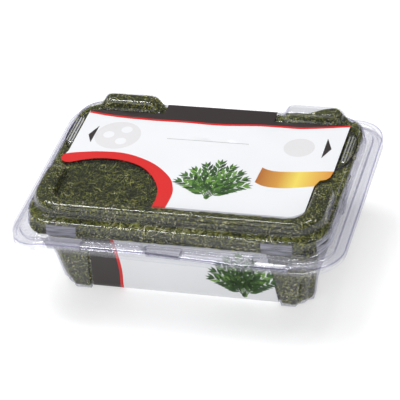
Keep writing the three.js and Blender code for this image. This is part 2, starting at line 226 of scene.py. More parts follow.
def contour(field: Field, levels: Iterable[float], window: Window, step: float) -> tuple[Array, Array]:
    """Points and segments where a field crosses levels, by marching over split squares.

    Args:
        field: The field over the plan.
        levels: The levels to draw.
        window: Lowest and highest x, then lowest and highest y.
        step: Size of the squares.

    Returns:
        An array of points, and an array of index pairs.
    """
    low_x, high_x, low_y, high_y = window
    xs = np.arange(low_x, high_x + step, step)
    ys = np.arange(low_y, high_y + step, step)
    grid_x, grid_y = np.meshgrid(xs, ys, indexing="ij")
    values = field(grid_x, grid_y)
    all_points, all_pairs, offset = [], [], 0
    count_x, count_y = values.shape
    node = np.arange(count_x * count_y).reshape(count_x, count_y)
    flat_x, flat_y = grid_x.ravel(), grid_y.ravel()
    ends = {
        "across": (node[:-1, :], node[1:, :]),
        "along": (node[:, :-1], node[:, 1:]),
        "slant": (node[:-1, :-1], node[1:, 1:]),
    }
    for level in levels:
        above = values.ravel() - level + 1e-9
        crossing = {}
        for kind, (first, second) in ends.items():
            low, high = above[first], above[second]
            hit = low * high < 0
            numbers = np.full(first.shape, -1)
            numbers[hit] = offset + np.arange(hit.sum())
            offset += int(hit.sum())
            share = (low[hit] / (low[hit] - high[hit]))[:, None]
            start = np.column_stack([flat_x[first[hit]], flat_y[first[hit]]])
            end = np.column_stack([flat_x[second[hit]], flat_y[second[hit]]])
            all_points.append(start + (end - start) * share)
            crossing[kind] = numbers
        across, along, slant = crossing["across"], crossing["along"], crossing["slant"]
        triangles = (
            (across[:, :-1], along[1:, :], slant),
            (across[:, 1:], along[:-1, :], slant),
        )
        for sides in triangles:
            for one, other in ((0, 1), (1, 2), (0, 2)):
                both = (sides[one] >= 0) & (sides[other] >= 0)
                all_pairs.append(np.column_stack([sides[one][both], sides[other][both]]))
    return np.concatenate(all_points), np.concatenate(all_pairs)


def inside_plan(points: Array, outline: Plan) -> Array:
    """Which points lie inside a closed outline, by counting crossings.

    Args:
        points: Rows of x and y.
        outline: The outline.

    Returns:
        True for each point inside.
    """
    ring = np.asarray(outline, float)
    after = np.roll(ring, -1, axis=0)
    inside = np.zeros(len(points), bool)
    for (x0, y0), (x1, y1) in zip(ring, after):
        if y0 == y1:
            continue
        spans = (y0 > points[:, 1]) != (y1 > points[:, 1])
        cut = x0 + (points[:, 1] - y0) * (x1 - x0) / (y1 - y0)
        inside ^= spans & (points[:, 0] < cut)
    return inside


class PlanMesh:
    """A triangulated plan whose edges follow outlines and contours."""

    def __init__(self, outline: Plan) -> None:
        """Starts with the outer outline."""
        self.points: Line = []
        self.pairs: list[tuple[int, int]] = []
        self.outline = list(outline)
        self.add_loop(outline)

    def add_loop(self, loop: Plan) -> None:
        """Adds a closed line that edges must follow."""
        start = len(self.points)
        self.points.extend((float(x), float(y)) for x, y in loop)
        count = len(loop)
        self.pairs.extend((start + i, start + (i + 1) % count) for i in range(count))

    def add_contours(self, field: Field, levels: Iterable[float], step: float,
                     window: Window | None = None) -> None:
        """Adds the lines where a field crosses levels.

        Args:
            field: The field over the plan.
            levels: The levels to draw.
            step: Spacing of the marching squares.
            window: Part of the plan to search, or the whole of it.
        """
        ring = np.asarray(self.outline)
        low, high = ring.min(axis=0), ring.max(axis=0)
        area = window or (low[0], high[0], low[1], high[1])
        points, pairs = contour(field, levels, area, step)
        start = len(self.points)
        self.points.extend(map(tuple, points.tolist()))
        self.pairs.extend((start + a, start + b) for a, b in pairs.tolist())

    def add_grid(self, spacing: float) -> None:
        """Adds loose points on a square grid inside the outline.

        Args:
            spacing: Distance between the points.
        """
        ring = np.asarray(self.outline)
        low, high = ring.min(axis=0), ring.max(axis=0)
        xs, ys = np.arange(low[0], high[0], spacing), np.arange(low[1], high[1], spacing)
        grid = np.array([(x, y) for x in xs for y in ys])
        grid = grid[inside_plan(grid, self.outline)]
        self.points.extend(map(tuple, grid.tolist()))

    def triangles(self) -> tuple[Array, Array]:
        """Triangulates the plan.

        Returns:
            The points, and the triangles inside the outline as index rows.
        """
        flat = [Vector(point) for point in self.points]
        result = delaunay_2d_cdt(flat, self.pairs, [], 0, 1e-3, False)
        points = np.array([(v.x, v.y) for v in result[0]])
        faces = np.array(result[2])
        middles = points[faces].mean(axis=1)
        return points, faces[inside_plan(middles, self.outline)]


def add_object(name: str, data: bpy.types.ID) -> Piece:
    """Adds an object to the scene."""
    item = bpy.data.objects.new(name, data)
    bpy.context.scene.collection.objects.link(item)
    return item


def make_object(name: str, points: Array, faces: Iterable[Sequence[int]]) -> Piece:
    """Makes a mesh object from points in millimetres.

    Args:
        name: Name of the piece.
        points: Places in millimetres.
        faces: Index rows.

    Returns:
        The object, at the origin, in metres.
    """
    mesh = bpy.data.meshes.new(name)
    rows = faces.tolist() if isinstance(faces, Array) else [list(face) for face in faces]
    mesh.from_pydata((np.asarray(points, float) * MM).tolist(), [], rows)
    mesh.update()
    return add_object(name, mesh)


def clean(piece: Piece, merge_mm: float = 0.002, outwards: bool = False) -> None:
    """Joins double points of a piece and deletes loose ones.

    Args:
        piece: The piece.
        merge_mm: Distance below which two points are one.
        outwards: Whether its faces are turned outwards too.
    """
    work = bmesh.new()
    work.from_mesh(piece.data)
    bmesh.ops.remove_doubles(work, verts=work.verts, dist=merge_mm * MM)
    bmesh.ops.dissolve_degenerate(work, edges=work.edges, dist=NO_LENGTH)
    loose = [vert for vert in work.verts if not vert.link_faces]
    bmesh.ops.delete(work, geom=loose, context="VERTS")
    if outwards:
        bmesh.ops.recalc_face_normals(work, faces=work.faces)
    work.to_mesh(piece.data)
    work.free()


def settle(piece: Piece) -> None:
    """Turns a piece's modifiers into its plain mesh.

    Args:
        piece: The piece.
    """
    graph = bpy.context.evaluated_depsgraph_get()
    plain = bpy.data.meshes.new_from_object(piece.evaluated_get(graph))
    plain.name = piece.name
    piece.modifiers.clear()
    piece.data = plain


def thicken(piece: Piece, thickness: float) -> None:
    """Gives an open skin its sheet thickness, away from the side that its faces point to.

    Args:
        piece: The skin.
        thickness: Thickness of the sheet.
    """
    solid = piece.modifiers.new("sheet", "SOLIDIFY")
    solid.thickness = thickness * MM
    solid.offset = -1.0
    solid.use_even_offset = False
    settle(piece)


def smooth(piece: Piece, sharp_degrees: float = 40.0) -> None:
    """Shades a piece smoothly, apart from its sharp edges."""
    piece.data.polygons.foreach_set("use_smooth", [True] * len(piece.data.polygons))
    piece.data.set_sharp_from_angle(angle=math.radians(sharp_degrees))


def closed_block(name: str, plan: Array, faces: Array, top: Array, bottom: float) -> Piece:
    """Closes a skin into a block with a flat underside.

    Args:
        name: Name of the piece.
        plan: Points of the plan.
        faces: Triangles of the plan.
        top: Height of the skin at each point.
        bottom: Height of the underside.

    Returns:
        The block.
    """
    count = len(plan)
    upper = np.column_stack([plan, top])
    lower = np.column_stack([plan, np.full(count, bottom)])
    sides = {}
    for face in faces.tolist():
        for start, end in zip(face, face[1:] + face[:1]):
            if (end, start) in sides:
                del sides[(end, start)]
            else:
                sides[(start, end)] = True
    walls = [(start, start + count, end + count, end) for start, end in sides]
    rows = [*faces.tolist(), *(faces[:, ::-1] + count).tolist(), *walls]
    return make_object(name, np.concatenate([upper, lower]), rows)


def paint(piece: Piece, materials: Iterable[Material], index: Array) -> None:
    """Gives each face of a piece one of several finishes.

    Args:
        piece: The piece.
        materials: The finishes.
        index: Number of its finish for each face.
    """
    for material in materials:
        piece.data.materials.append(material)
    piece.data.polygons.foreach_set("material_index", index.astype(np.int32))


def read_rows(items: bpy.types.bpy_prop_collection, key: str) -> Array:
    """Reads a vector of each item of a mesh, one row for each."""
    values = np.empty(len(items) * 3)
    items.foreach_get(key, values)
    return values.reshape(-1, 3)


def move_points(piece: Piece, points: Array) -> None:
    """Puts a piece's points at new places, in metres."""
    piece.data.vertices.foreach_set("co", points.ravel())
    piece.data.update()


def face_middles(piece: Piece) -> Array:
    """Middles of a piece's faces, in millimetres."""
    return read_rows(piece.data.polygons, "center") / MM


def dress(piece: Piece, materials: Sequence[Material]) -> None:
    """Gives a piece its materials."""
    piece.data.materials.clear()
    for material in materials:
        piece.data.materials.append(material)


class NodeMaker:
    """A short way to add nodes to a tree."""

    prefix = ""

    def __init__(self, tree: bpy.types.NodeTree) -> None:
        """Starts with a tree."""
        self.tree = tree

    def add(self, kind: str, settings: dict | None = None, **inputs) -> Node:
        """Adds a node.

        Args:
            kind: The node's type, without the prefix of the tree's own nodes.
            settings: Properties of the node.
            **inputs: Values or sockets for its inputs. An underscore in a name stands for a
                space, and i0 for the first input.

        Returns:
            The node.
        """
        foreign = kind.startswith(("ShaderNode", "FunctionNode"))
        node = self.tree.nodes.new(kind if foreign else self.prefix + kind)
        for key, value in (settings or {}).items():
            setattr(node, key, value)
        for key, value in inputs.items():
            numbered = key[0] == "i" and key[1:].isdigit()
            target = node.inputs[int(key[1:]) if numbered else key.replace("_", " ")]
            if isinstance(value, Socket):
                self.tree.links.new(value, target)
            else:
                target.default_value = value
        return node

    def math(self, operation: str, *values: Value) -> Socket:
        """Adds a calculation and gives its result."""
        inputs = {f"i{number}": value for number, value in enumerate(values)}
        return self.add("ShaderNodeMath", {"operation": operation}, **inputs).outputs[0]


class Shader(NodeMaker):
    """The nodes of a material."""

    prefix = "ShaderNode"

    def __init__(self, name: str) -> None:
        """Makes an empty material with an output.

        Args:
            name: Name of the material.
        """
        self.material = bpy.data.materials.new(name)
        self.material.use_nodes = True
        super().__init__(self.material.node_tree)
        self.tree.nodes.clear()
        self.output = self.add("OutputMaterial")
        self.place = self.add("TexCoord").outputs["Object"]

    def noise(self, scale: float, detail: float, **inputs) -> Socket:
        """Adds a noise over the piece and gives its value."""
        inputs = {"Vector": self.place, **inputs}
        return self.add("TexNoise", Scale=scale, Detail=detail, **inputs).outputs["Fac"]

    def bump(self, height: Socket, strength: float, distance: float) -> Socket:
        """Adds a bump and gives its normal."""
        return self.add("Bump", Height=height, Strength=strength, Distance=distance).outputs["Normal"]

    def rescale(self, value: Socket, old: Pair, new: Pair = (0.0, 1.0)) -> Socket:
        """Turns one range of values into another, held at its ends."""
        node = self.add("MapRange", Value=value, From_Min=old[0], From_Max=old[1],
                        To_Min=new[0], To_Max=new[1])
        return node.outputs["Result"]

    def ramp(self, factor: Socket, stops: Sequence[tuple[float, Sequence[float]]]) -> Socket:
        """Adds a colour ramp.

        Args:
            factor: What drives it.
            stops: Places and colours, lowest first.

        Returns:
            The ramp's colour socket.
        """
        node = self.add("ValToRGB", Fac=factor)
        elements = node.color_ramp.elements
        while len(elements) < len(stops):
            elements.new(0.5)
        for element, (place, colour) in zip(elements, stops):
            element.position = place
            element.color = (*colour, 1.0)
        return node.outputs["Color"]

    def within(self, value: Socket, lowest: float, highest: float, soft: float) -> Socket:
        """One between two limits and zero beyond them, with soft ends.

        Args:
            value: What is compared.
            lowest: Lower limit.
            highest: Upper limit.
            soft: Width of each end.

        Returns:
            The socket with the share.
        """
        above = self.rescale(value, (lowest, lowest + soft))
        below = self.rescale(value, (highest, highest - soft))
        return self.math("MULTIPLY", above, below)

    def mix(self, share: Value, first: Node, second: Node) -> Node:
        """Adds a mixture of two surfaces, with a share of the second."""
        return self.add("MixShader", Fac=share, i1=first.outputs[0], i2=second.outputs[0])

    def finish(self, surface: Node) -> Material:
        """Joins the surface to the output."""
        self.tree.links.new(surface.outputs[0], self.output.inputs["Surface"])
        return self.material


@dataclass(frozen=True)
class ClearSheet:
    """Clear thermoformed sheet: see-through face on, lilac grey and shiny edge on."""

    name: str
    face_tint: Triple = (0.955, 0.957, 0.97)
    edge_tint: Triple = (0.50, 0.49, 0.66)
    roughness: float = 0.09
    ripple: float = 0.01
    haze: float = 0.0
    haze_tint: Triple = (0.78, 0.78, 0.84)
    face_gloss: float = 0.045
    edge_gloss: float = 0.75
    gloss_power: float = 4.5

    def material(self) -> Material:
        """Builds the material.

        Returns:
            The finish.
        """
        shader = Shader(self.name)
        bump = shader.bump(shader.noise(160.0, 2.0), self.ripple, 0.001)
        facing = shader.add("LayerWeight", Blend=0.5).outputs["Facing"]
        tint = shader.ramp(facing, ((0.0, self.face_tint), (0.55, self.face_tint), (0.97, self.edge_tint)))
        clear = shader.add("BsdfTransparent", Color=tint)
        gloss = shader.add("BsdfGlossy", Roughness=self.roughness, Normal=bump)
        steep = shader.math("POWER", facing, self.gloss_power)
        share = shader.math("MULTIPLY_ADD", steep, self.edge_gloss, self.face_gloss)
        surface = shader.mix(share, clear, gloss)
        if self.haze > 0:
            milky = shader.add("BsdfDiffuse", Color=(*self.haze_tint, 1.0))
            surface = shader.mix(self.haze, surface, milky)
        return shader.finish(surface)


@dataclass(frozen=True)
class StreakedReflectionSheet:
    """Sheet with level streaks: painted reflection on the patches above the outer snaps, painted glare on the
    dome's right wall.
    """

    name: str
    tint: Triple = (0.36, 0.36, 0.42)
    weakest: float = 0.35
    strongest: float = 0.80
    stretch: float = 14.0

    def material(self) -> Material:
        """Builds the material.

        Returns:
            The finish.
        """
        shader = Shader(self.name)
        long = shader.add("Mapping", Vector=shader.place, Scale=(1.0, 1.0, self.stretch))
        streak = shader.noise(120.0, 2.0, Vector=long.outputs["Vector"])
        share = shader.rescale(streak, (0.35, 0.62), (self.weakest, self.strongest))
        clear = shader.add("BsdfTransparent", Color=(0.93, 0.93, 0.95, 1.0))
        # The streaky layer is painted light mixed into the clear sheet.
        painted_reflection_layer = shader.add("BsdfPrincipled", Base_Color=(*self.tint, 1.0), Roughness=0.25)
        return shader.finish(shader.mix(share, clear, painted_reflection_layer))


@dataclass(frozen=True)
class DriedLeaf:
    """Dried dill: each flake has its own shade, from dark olive to straw, and the dill under the flat panel
    is darkened as painted shade.
    """

    name: str
    shade_attribute: str = "flake_shade"
    well_low: Triple = (-0.0385, -0.0262, 0.0276)
    well_high: Triple = (0.0385, 0.0260, 0.0301)
    well_soft: float = 0.0006
    painted_shade_under_panel: float = -0.16

    def material(self) -> Material:
        """Builds the material.

        Returns:
            The finish.
        """
        shader = Shader(self.name)
        shade = shader.add("Attribute", {"attribute_name": self.shade_attribute}).outputs["Fac"]
        shift = shader.math("MULTIPLY_ADD", shader.noise(210.0, 2.0), 1.3, 0.3)
        mixed = shader.math("MULTIPLY", shade, shift)
        # Painted shade: flakes inside this box, under the flat panel, are made darker.
        axes = shader.add("SeparateXYZ", Vector=shader.place).outputs
        across, along, up = (shader.within(axis, lowest, highest, self.well_soft)
                             for axis, lowest, highest in zip(axes, self.well_low, self.well_high))
        share = shader.math("MULTIPLY", shader.math("MULTIPLY", across, along), up)
        colour = shader.ramp(shader.math("MULTIPLY_ADD", share, self.painted_shade_under_panel, mixed), (
            (0.0, (0.026, 0.030, 0.003)),
            (0.30, (0.060, 0.070, 0.006)),
            (0.55, (0.185, 0.208, 0.022)),
            (0.78, (0.430, 0.450, 0.085)),
            (0.93, (0.640, 0.630, 0.220)),
            (1.0, (0.860, 0.820, 0.540)),
        ))
        bump = shader.bump(shader.noise(2600.0, 2.0), 0.3, 0.0002)
        return shader.finish(shader.add("BsdfPrincipled", Base_Color=colour, Roughness=0.72, Normal=bump,
                                        Specular_IOR_Level=0.35))


@dataclass(frozen=True)
class PackedCore:
    """The mass of dill seen between the outer flakes, near black as painted shade of the gaps."""

    name: str

    def material(self) -> Material:
        """Builds the material.

        Returns:
            The finish.
        """
        shader = Shader(self.name)
        speck = shader.noise(1500.0, 3.0, Roughness=0.7)
        # Near-black colours: painted shade between the flakes.
        colour = shader.ramp(speck, (
            (0.30, (0.006, 0.007, 0.001)),
            (0.52, (0.018, 0.021, 0.002)),
            (0.70, (0.060, 0.067, 0.009)),
        ))
        bump = shader.bump(speck, 0.8, 0.0006)
        return shader.finish(shader.add("BsdfPrincipled", Base_Color=colour, Roughness=0.9, Normal=bump))


@dataclass(frozen=True)
class Print:
    """Printed film: one ink on a white label, with the film's soft unevenness."""

    name: str
    ink: Triple
    roughness: float = 0.38
    unevenness: float = 0.03

    def material(self) -> Material:
        """Builds the material.

        Returns:
            The finish.
        """
        shader = Shader(self.name)
        broad = shader.noise(45.0, 1.0)
        darker = tuple(channel * (1 - self.unevenness) for channel in self.ink)
        colour = shader.ramp(broad, ((0.35, self.ink), (0.65, darker)))
        both = shader.math("MULTIPLY_ADD", shader.noise(900.0, 3.0), 0.05, broad)
        bump = shader.bump(both, 0.35, 0.0008)
        film = shader.add("BsdfPrincipled", Base_Color=colour, Roughness=self.roughness, Normal=bump)
        return shader.finish(film)


@dataclass(frozen=True)
class GoldPrint:
    """A ribbon printed in a gradient from bronze to yellow gold along the width."""

    name: str
    from_x: float
    to_x: float

    def material(self) -> Material:
        """Builds the material.

        Returns:
            The finish.
        """
        shader = Shader(self.name)
        across = shader.add("SeparateXYZ", Vector=shader.place).outputs["X"]
        colour = shader.ramp(shader.rescale(across, (self.from_x * MM, self.to_x * MM)), (
            (0.0, (0.40, 0.130, 0.025)),
            (0.30, (0.60, 0.290, 0.050)),
            (0.55, (0.80, 0.640, 0.115)),
            (0.80, (0.72, 0.420, 0.075)),
            (1.0, (0.66, 0.270, 0.045)),
        ))
        return shader.finish(shader.add("BsdfPrincipled", Base_Color=colour, Roughness=0.36))


@dataclass(frozen=True)
class PrintedLeaf:
    """Printed leaves, each in its own green."""

    name: str
    shade_attribute: str = "leaf_shade"

    def material(self) -> Material:
        """Builds the material.

        Returns:
            The finish.
        """
        shader = Shader(self.name)
        shade = shader.add("Attribute", {"attribute_name": self.shade_attribute}).outputs["Fac"]
        colour = shader.ramp(shade, (
            (0.0, (0.008, 0.028, 0.005)),
            (0.4, (0.024, 0.078, 0.010)),
            (0.75, (0.062, 0.165, 0.022)),
            (1.0, (0.160, 0.320, 0.050)),
        ))
        return shader.finish(shader.add("BsdfPrincipled", Base_Color=colour, Roughness=0.38))


class Finishes:
    """All finishes of the pack, built once."""

    def __init__(self) -> None:
        """Builds every material."""
        self.sheet = ClearSheet("clear sheet").material()
        self.flange = ClearSheet("flange sheet", (0.94, 0.94, 0.955), roughness=0.13, ripple=0.0,
                                 haze=0.10).material()
        # Milky rib crests stand in for the ribs' highlights: painted highlight, brighter on the left flap.
        self.rib = ClearSheet("grip rib", roughness=0.2, ripple=0.0, haze=0.2).material()
        self.glare = StreakedReflectionSheet("glare streaks", (0.70, 0.70, 0.80), weakest=0.05, strongest=0.62).material()
        self.bright_rib_highlight = ClearSheet("bright grip rib", roughness=0.2, ripple=0.0, haze=0.42).material()
        self.snap = ClearSheet("snap sheet", (0.96, 0.96, 0.975), (0.30, 0.29, 0.42), 0.05, 0.0,
                               haze=0.36).material()
        self.tray = ClearSheet("tray sheet", haze=0.02).material()
        # Painted reflection patches on the front wall above the outer snaps.
        self.painted_reflection_patches = StreakedReflectionSheet("rubbed sheet").material()
        self.edge = ClearSheet("cut sheet edge", (0.50, 0.48, 0.62), (0.24, 0.23, 0.36), 0.12).material()
        self.rim = ClearSheet("flange rim", (0.74, 0.73, 0.83), (0.42, 0.41, 0.56), 0.1).material()
        self.flake = DriedLeaf("dried dill flakes").material()
        self.core = PackedCore("packed dill").material()
        self.white = Print("label white", (0.775, 0.785, 0.805)).material()
        self.black = Print("label brown black", (0.030, 0.022, 0.022), roughness=0.3).material()
        self.red = Print("label red", (0.64, 0.009, 0.008)).material()
        self.disc_grey = Print("label pale grey", (0.69, 0.68, 0.69)).material()
        self.rule_grey = Print("label rule grey", (0.32, 0.31, 0.32)).material()
        self.gold = GoldPrint("label gold", 19.5, 41.2).material()
        self.leaf = PrintedLeaf("label leaf greens").material()


@dataclass
class FlangeForm:
    """The two flanges, their bead and their three snap buttons."""

    plan: RoundedPlan = RoundedPlan(50.8, -37.6, 36.0, 11.0, 10.0)
    bead: Bead = Bead(inner=3.3, outer=1.4, rise=0.8)
    snap_centres: Floats = (-31.5, -1.2, 30.4)
    snap_middle_y: float = -35.2
    snap_half_width: float = 5.3
    snap_half_depth: float = 1.45
    snap_radius: float = 0.5
    snap_window: Window = (-40.0, 40.0, -37.5, -33.0)
    bead_gap: float = 0.5
    bead_end: Ease = Ease(0.0, -0.8)
    pad_margin: float = 0.45
    rim_lines: Pair = (0.15, 0.4)
    pad: Wall = Wall(rise=0.5, run=0.1, foot=0.15, shoulder=0.15)
    button: Wall = Wall(rise=1.9, run=0.25, foot=0.12, shoulder=0.25)
    left_draw: float = 0.9
    front_raise: float = 0.9
    front_drop: float = 0.7
    drawn_across: Ease = Ease(-46.3, -4.0)
    bent_along: Ease = Ease(-33.4, -3.0)
    raised_across: tuple[Ease, Ease] = (Ease(14.0, -22.0), Ease(-46.0, 10.0))
    lowered_across: tuple[Ease, Ease] = (Ease(12.0, 12.0), Ease(47.0, -7.0))
    corner_lift: float = 1.3
    lift_outwards: Ease = Ease(4.7, -4.7)
    lift_across: Ease = Ease(10.0, 38.0)
    lift_along: Ease = Ease(-10.0, 40.0)

    def snap_depth(self, x: Array, y: Array, grow: float = 0.0) -> Array:
        """Distance inside the nearest snap button.

        Args:
            x: Places along the width.
            y: Places along the depth.
            grow: How far the buttons' outlines are moved outwards.

        Returns:
            Positive inside, negative outside.
        """
        radius = self.snap_radius + grow
        front = self.snap_middle_y - self.snap_half_depth - grow
        rear = self.snap_middle_y + self.snap_half_depth + grow
        return np.maximum.reduce([
            RoundedPlan(self.snap_half_width + grow, front, rear, radius, radius, centre).depth(x, y)
            for centre in self.snap_centres
        ])

    def relief(self, x: Array, y: Array) -> Array:
        """Height of the bead and the snap buttons above the flange."""
        away = self.bead_end.at(self.snap_depth(x, y, self.bead_gap))
        bead = self.bead.at(self.plan.depth(x, y)) * away
        pad = self.pad.at(self.snap_depth(x, y, self.pad_margin))
        return bead + pad - self.button.at(self.snap_depth(x, y))

    def settle_edges(self, points: Array) -> Array:
        """Draws the left edge in a little and bends the front edge, as thin sheet does.

        Args:
            points: Places on a flange.

        Returns:
            The places with the front raised left of the middle and lowered right of it.
        """
        drawn = points.copy()
        x, y = points[:, 0], points[:, 1]
        drawn[:, 0] += self.left_draw * self.drawn_across.at(x)
        raised, raised_end = (ease.at(x) for ease in self.raised_across)
        lowered, lowered_end = (ease.at(x) for ease in self.lowered_across)
        bend = self.front_raise * (raised * raised_end) - self.front_drop * (lowered * lowered_end)
        drawn[:, 2] += self.bent_along.at(y) * bend
        return drawn

    def lift(self, x: Array, y: Array) -> Array:
        """How far the lid's rear right corner has sprung up from the base."""
        outside = self.lift_outwards.at(self.plan.depth(x, y))
        return self.corner_lift * outside * self.lift_across.at(x) * self.lift_along.at(y)

    def add_lines(self, mesh: PlanMesh) -> None:
        """Adds the bead's and the buttons' lines to a plan.

        Args:
            mesh: The plan.
        """
        mesh.add_contours(self.plan.depth, self.bead.levels(), 0.9)
        mesh.add_contours(self.plan.depth, self.rim_lines, 0.9)
        mesh.add_contours(self.snap_depth, self.button.levels()[1:-1:2], 0.3, self.snap_window)
        mesh.add_contours(lambda x, y: self.snap_depth(x, y, self.pad_margin), self.pad.levels()[::3], 0.35,
                          self.snap_window)


class LidPart(IntEnum):
    """The parts of the lid that have their own finish, in the order of its materials."""

    SHEET = 0
    FLANGE = 1
    RIM = 2
    # Painted reflection patches on the front wall.
    RUBBED = 3
    SNAP = 4
    GLARE = 5


@dataclass
class LidShell:
    """The lid: dome, ledge, panel, raised ridge, rear lugs and flange, in one sheet."""

    finishes: Finishes
    flange: FlangeForm
    flange_top: float = 25.1
    sheet: float = 0.26
    dome_plan: RoundedPlan = RoundedPlan(46.1, -33.2, 32.3, 10.5, 8.5)
    dome_wall: Wall = Wall(rise=4.9, run=0.55, foot=0.8, shoulder=0.9)
    panel_plan: RoundedPlan = RoundedPlan(44.6, -29.5, 31.0, 9.5, 7.5)
    panel_wall: Wall = Wall(rise=0.7, run=0.15, foot=0.25, shoulder=0.3)
    ridge_plan: RoundedPlan = RoundedPlan(44.6, -29.5, -7.6, 10.0, 3.2)
    ridge_wall: Wall = Wall(rise=1.0, run=0.45, foot=0.2, shoulder=0.85)
    well_plan: RoundedPlan = RoundedPlan(38.0, -24.2, 20.0, 5.2, 2.0)
    ridge_rise: float = 3.0
    ridge_outer_run: float = 1.4
    ridge_well_run: float = 1.0
    lug_centre: float = 29.3
    lug_half_width: float = 10.9
    lug_front: float = 25.5
    lug_rear: float = 32.3
    lug_rise: float = 3.7
    lug_end: Section = ((0, 1.0, 1.5, 1.9, 2.6, 3.3, 4.2, 5.0), (0, 0.04, 0.2, 0.45, 0.76, 0.91, 0.98, 1))
    lug_front_wall: Section = ((0, 0.4, 0.8, 1.2, 1.6, 2.2), (0, 0.12, 0.52, 0.88, 0.97, 1))
    lug_rear_wall: Section = ((0, 0.25, 0.5, 0.9, 1.4), (0, 0.5, 0.83, 0.96, 1))
    lug_lines: Floats = (0.02, 0.1, 0.25, 0.42, 0.6, 0.76, 0.88, 0.96, 0.995)
    pocket_gap: float = 0.5
    pocket_slope: float = 0.25
    pocket_lines: Floats = (0.0, 0.12, 0.25)
    curl_drop: float = 0.25
    curl_width: float = 0.45
    wave_rise: float = 0.9
    wave_middle_x: float = 40.5
    wave_spread: float = 4.2
    wave_width: float = 3.4
    wave_rear: float = -20.0
    rim_depth: float = 0.32
    snap_edge: float = 0.15
    flange_finish_depth: float = 4.2
    # Where the painted reflection patches lie on the front wall; pad_half_width is their half width.
    reflection_patch_centres: Floats = (-32.8, 32.0)
    pad_half_width: float = 4.6
    reflection_patch_bottom: float = 25.9
    reflection_patch_top: float = 29.3
    glare_bottom: float = 25.3
    glare_top: float = 28.6
    glare_from: float = 43.0
    glare_rear: float = 24.0

    def ridge_shares(self, x: Array, y: Array) -> tuple[Array, Array]:
        """How far up the ridge's outer wall and its well wall a place is."""
        outer = self.ridge_plan.depth(x, y) / self.ridge_outer_run
        well = -self.well_plan.depth(x, y) / self.ridge_well_run
        return outer, well

    def height(self, x: Array, y: Array) -> Array:
        """Height of the lid's outer skin.

        Args:
            x: Places along the width.
            y: Places along the depth.

        Returns:
            Heights in millimetres.
        """
        edge = self.flange.plan.depth(x, y)
        rise = self.dome_wall.at(self.dome_plan.depth(x, y))
        panel = self.panel_wall.at(self.panel_plan.depth(x, y)) * (1 - self.pocket_share(x, y))
        outer, well = self.ridge_shares(x, y)
        ridge = self.ridge_rise * self.ridge_wall.at(outer) * self.ridge_wall.at(well)
        lug = (self.lug_rise - panel) * self.lug_slope(x, y)
        curl = -self.curl_drop * smooth_share(1 - edge / self.curl_width)
        wave = self.wave_rise * np.exp(-(((x - self.wave_middle_x) / self.wave_spread) ** 2))
        wave = wave * smooth_share(1 - edge / self.wave_width) * (y < self.wave_rear)
        raised = rise + panel + ridge + lug
        return self.flange_top + raised + curl + wave + self.flange.relief(x, y) + self.flange.lift(x, y)

    def lug_slope(self, x: Array, y: Array) -> Array:
        """Share of the lug's full height, with round edges."""
        inside = self.lug_half_width - np.abs(np.abs(x) - self.lug_centre)
        ends = np.interp(inside, *self.lug_end)
        front = np.interp(y - self.lug_front, *self.lug_front_wall)
        return ends * front * np.interp(self.lug_rear - y, *self.lug_rear_wall)

    def pocket_share(self, x: Array, y: Array) -> Array:
        """1 in the pockets that the dispensing flaps rest in, 0 elsewhere."""
        return smooth_share(self.pocket_depth(x, y) / self.pocket_slope)

    def pocket_depth(self, x: Array, y: Array) -> Array:
        """Distance inside the nearest pocket."""
        return FlapForm().depth(x, y, self.pocket_gap)

    def mark(self, piece: Piece) -> None:
        """Gives the flange, its rim, the left snap, the painted reflection patches and the painted glare
        their own finish.

        Args:
            piece: The lid, before it is thickened.
        """
        x, y, z = face_middles(piece).T
        edge = self.flange.plan.depth(x, y)
        parts = np.full(len(x), LidPart.SHEET)
        parts[edge < self.flange_finish_depth] = LidPart.FLANGE
        at_left = x < self.flange.snap_centres[0] + 2 * self.flange.snap_half_width
        parts[(self.flange.snap_depth(x, y) > -self.snap_edge) & at_left] = LidPart.SNAP
        parts[edge < self.rim_depth] = LidPart.RIM
        above_flange = edge > self.flange_finish_depth
        # The painted reflection patches; on_pad marks where one lies.
        for centre in self.reflection_patch_centres:
            on_pad = (np.abs(x - centre) < self.pad_half_width) & (y < 0)
            parts[above_flange & on_pad & (z > self.reflection_patch_bottom) & (z < self.reflection_patch_top)] = LidPart.RUBBED
        at_right = (x > self.glare_from) & (y < self.glare_rear)
        parts[above_flange & at_right & (z > self.glare_bottom) & (z < self.glare_top)] = LidPart.GLARE
        looks = self.finishes
        paint(piece, (looks.sheet, looks.flange, looks.rim, looks.painted_reflection_patches, looks.snap, looks.glare), parts)

    def build(self) -> Piece:
        """Builds the lid.

        Returns:
            The finished piece, which stands for the lid.
        """
        mesh = PlanMesh(self.flange.plan.outline(20))
        self.flange.add_lines(mesh)
        mesh.add_contours(self.dome_plan.depth, self.dome_wall.levels(), 0.7)
        # Lines along the sides of the painted reflection patches.
        front = (-45.0, 45.0, -33.4, -31.0)
        for centre in self.reflection_patch_centres:
            sides = (centre - self.pad_half_width, centre + self.pad_half_width)
            mesh.add_contours(lambda x, y: x, sides, 0.3, front)
        mesh.add_contours(self.panel_plan.depth, self.panel_wall.levels()[::2], 0.7)
        ridge_window = (-46.0, 46.0, -31.0, -5.0)
        ridge_levels = self.ridge_wall.levels()
        mesh.add_contours(lambda x, y: np.minimum(*self.ridge_shares(x, y)), ridge_levels, 0.5, ridge_window)
        for side in (-1, 1):
            middle = side * self.lug_centre
            lug_window = (middle - 12, middle + 12, 25.0, 32.6)
            mesh.add_contours(self.lug_slope, self.lug_lines, 0.3, lug_window)
            pocket_window = (*sorted((side * 14, side * 50)), -1.0, 25.0)
            mesh.add_contours(self.pocket_depth, self.pocket_lines, 0.6, pocket_window)
        mesh.add_grid(2.4)
        points, faces = mesh.triangles()
        heights = self.height(points[:, 0], points[:, 1])
        placed = self.flange.settle_edges(np.column_stack([points, heights]))
        piece = make_object("lid_shell", placed, faces)
        clean(piece)
        self.mark(piece)
        thicken(piece, self.sheet)
        smooth(piece)
        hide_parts("lid")
        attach(piece, Body.LID.value)
        return piece


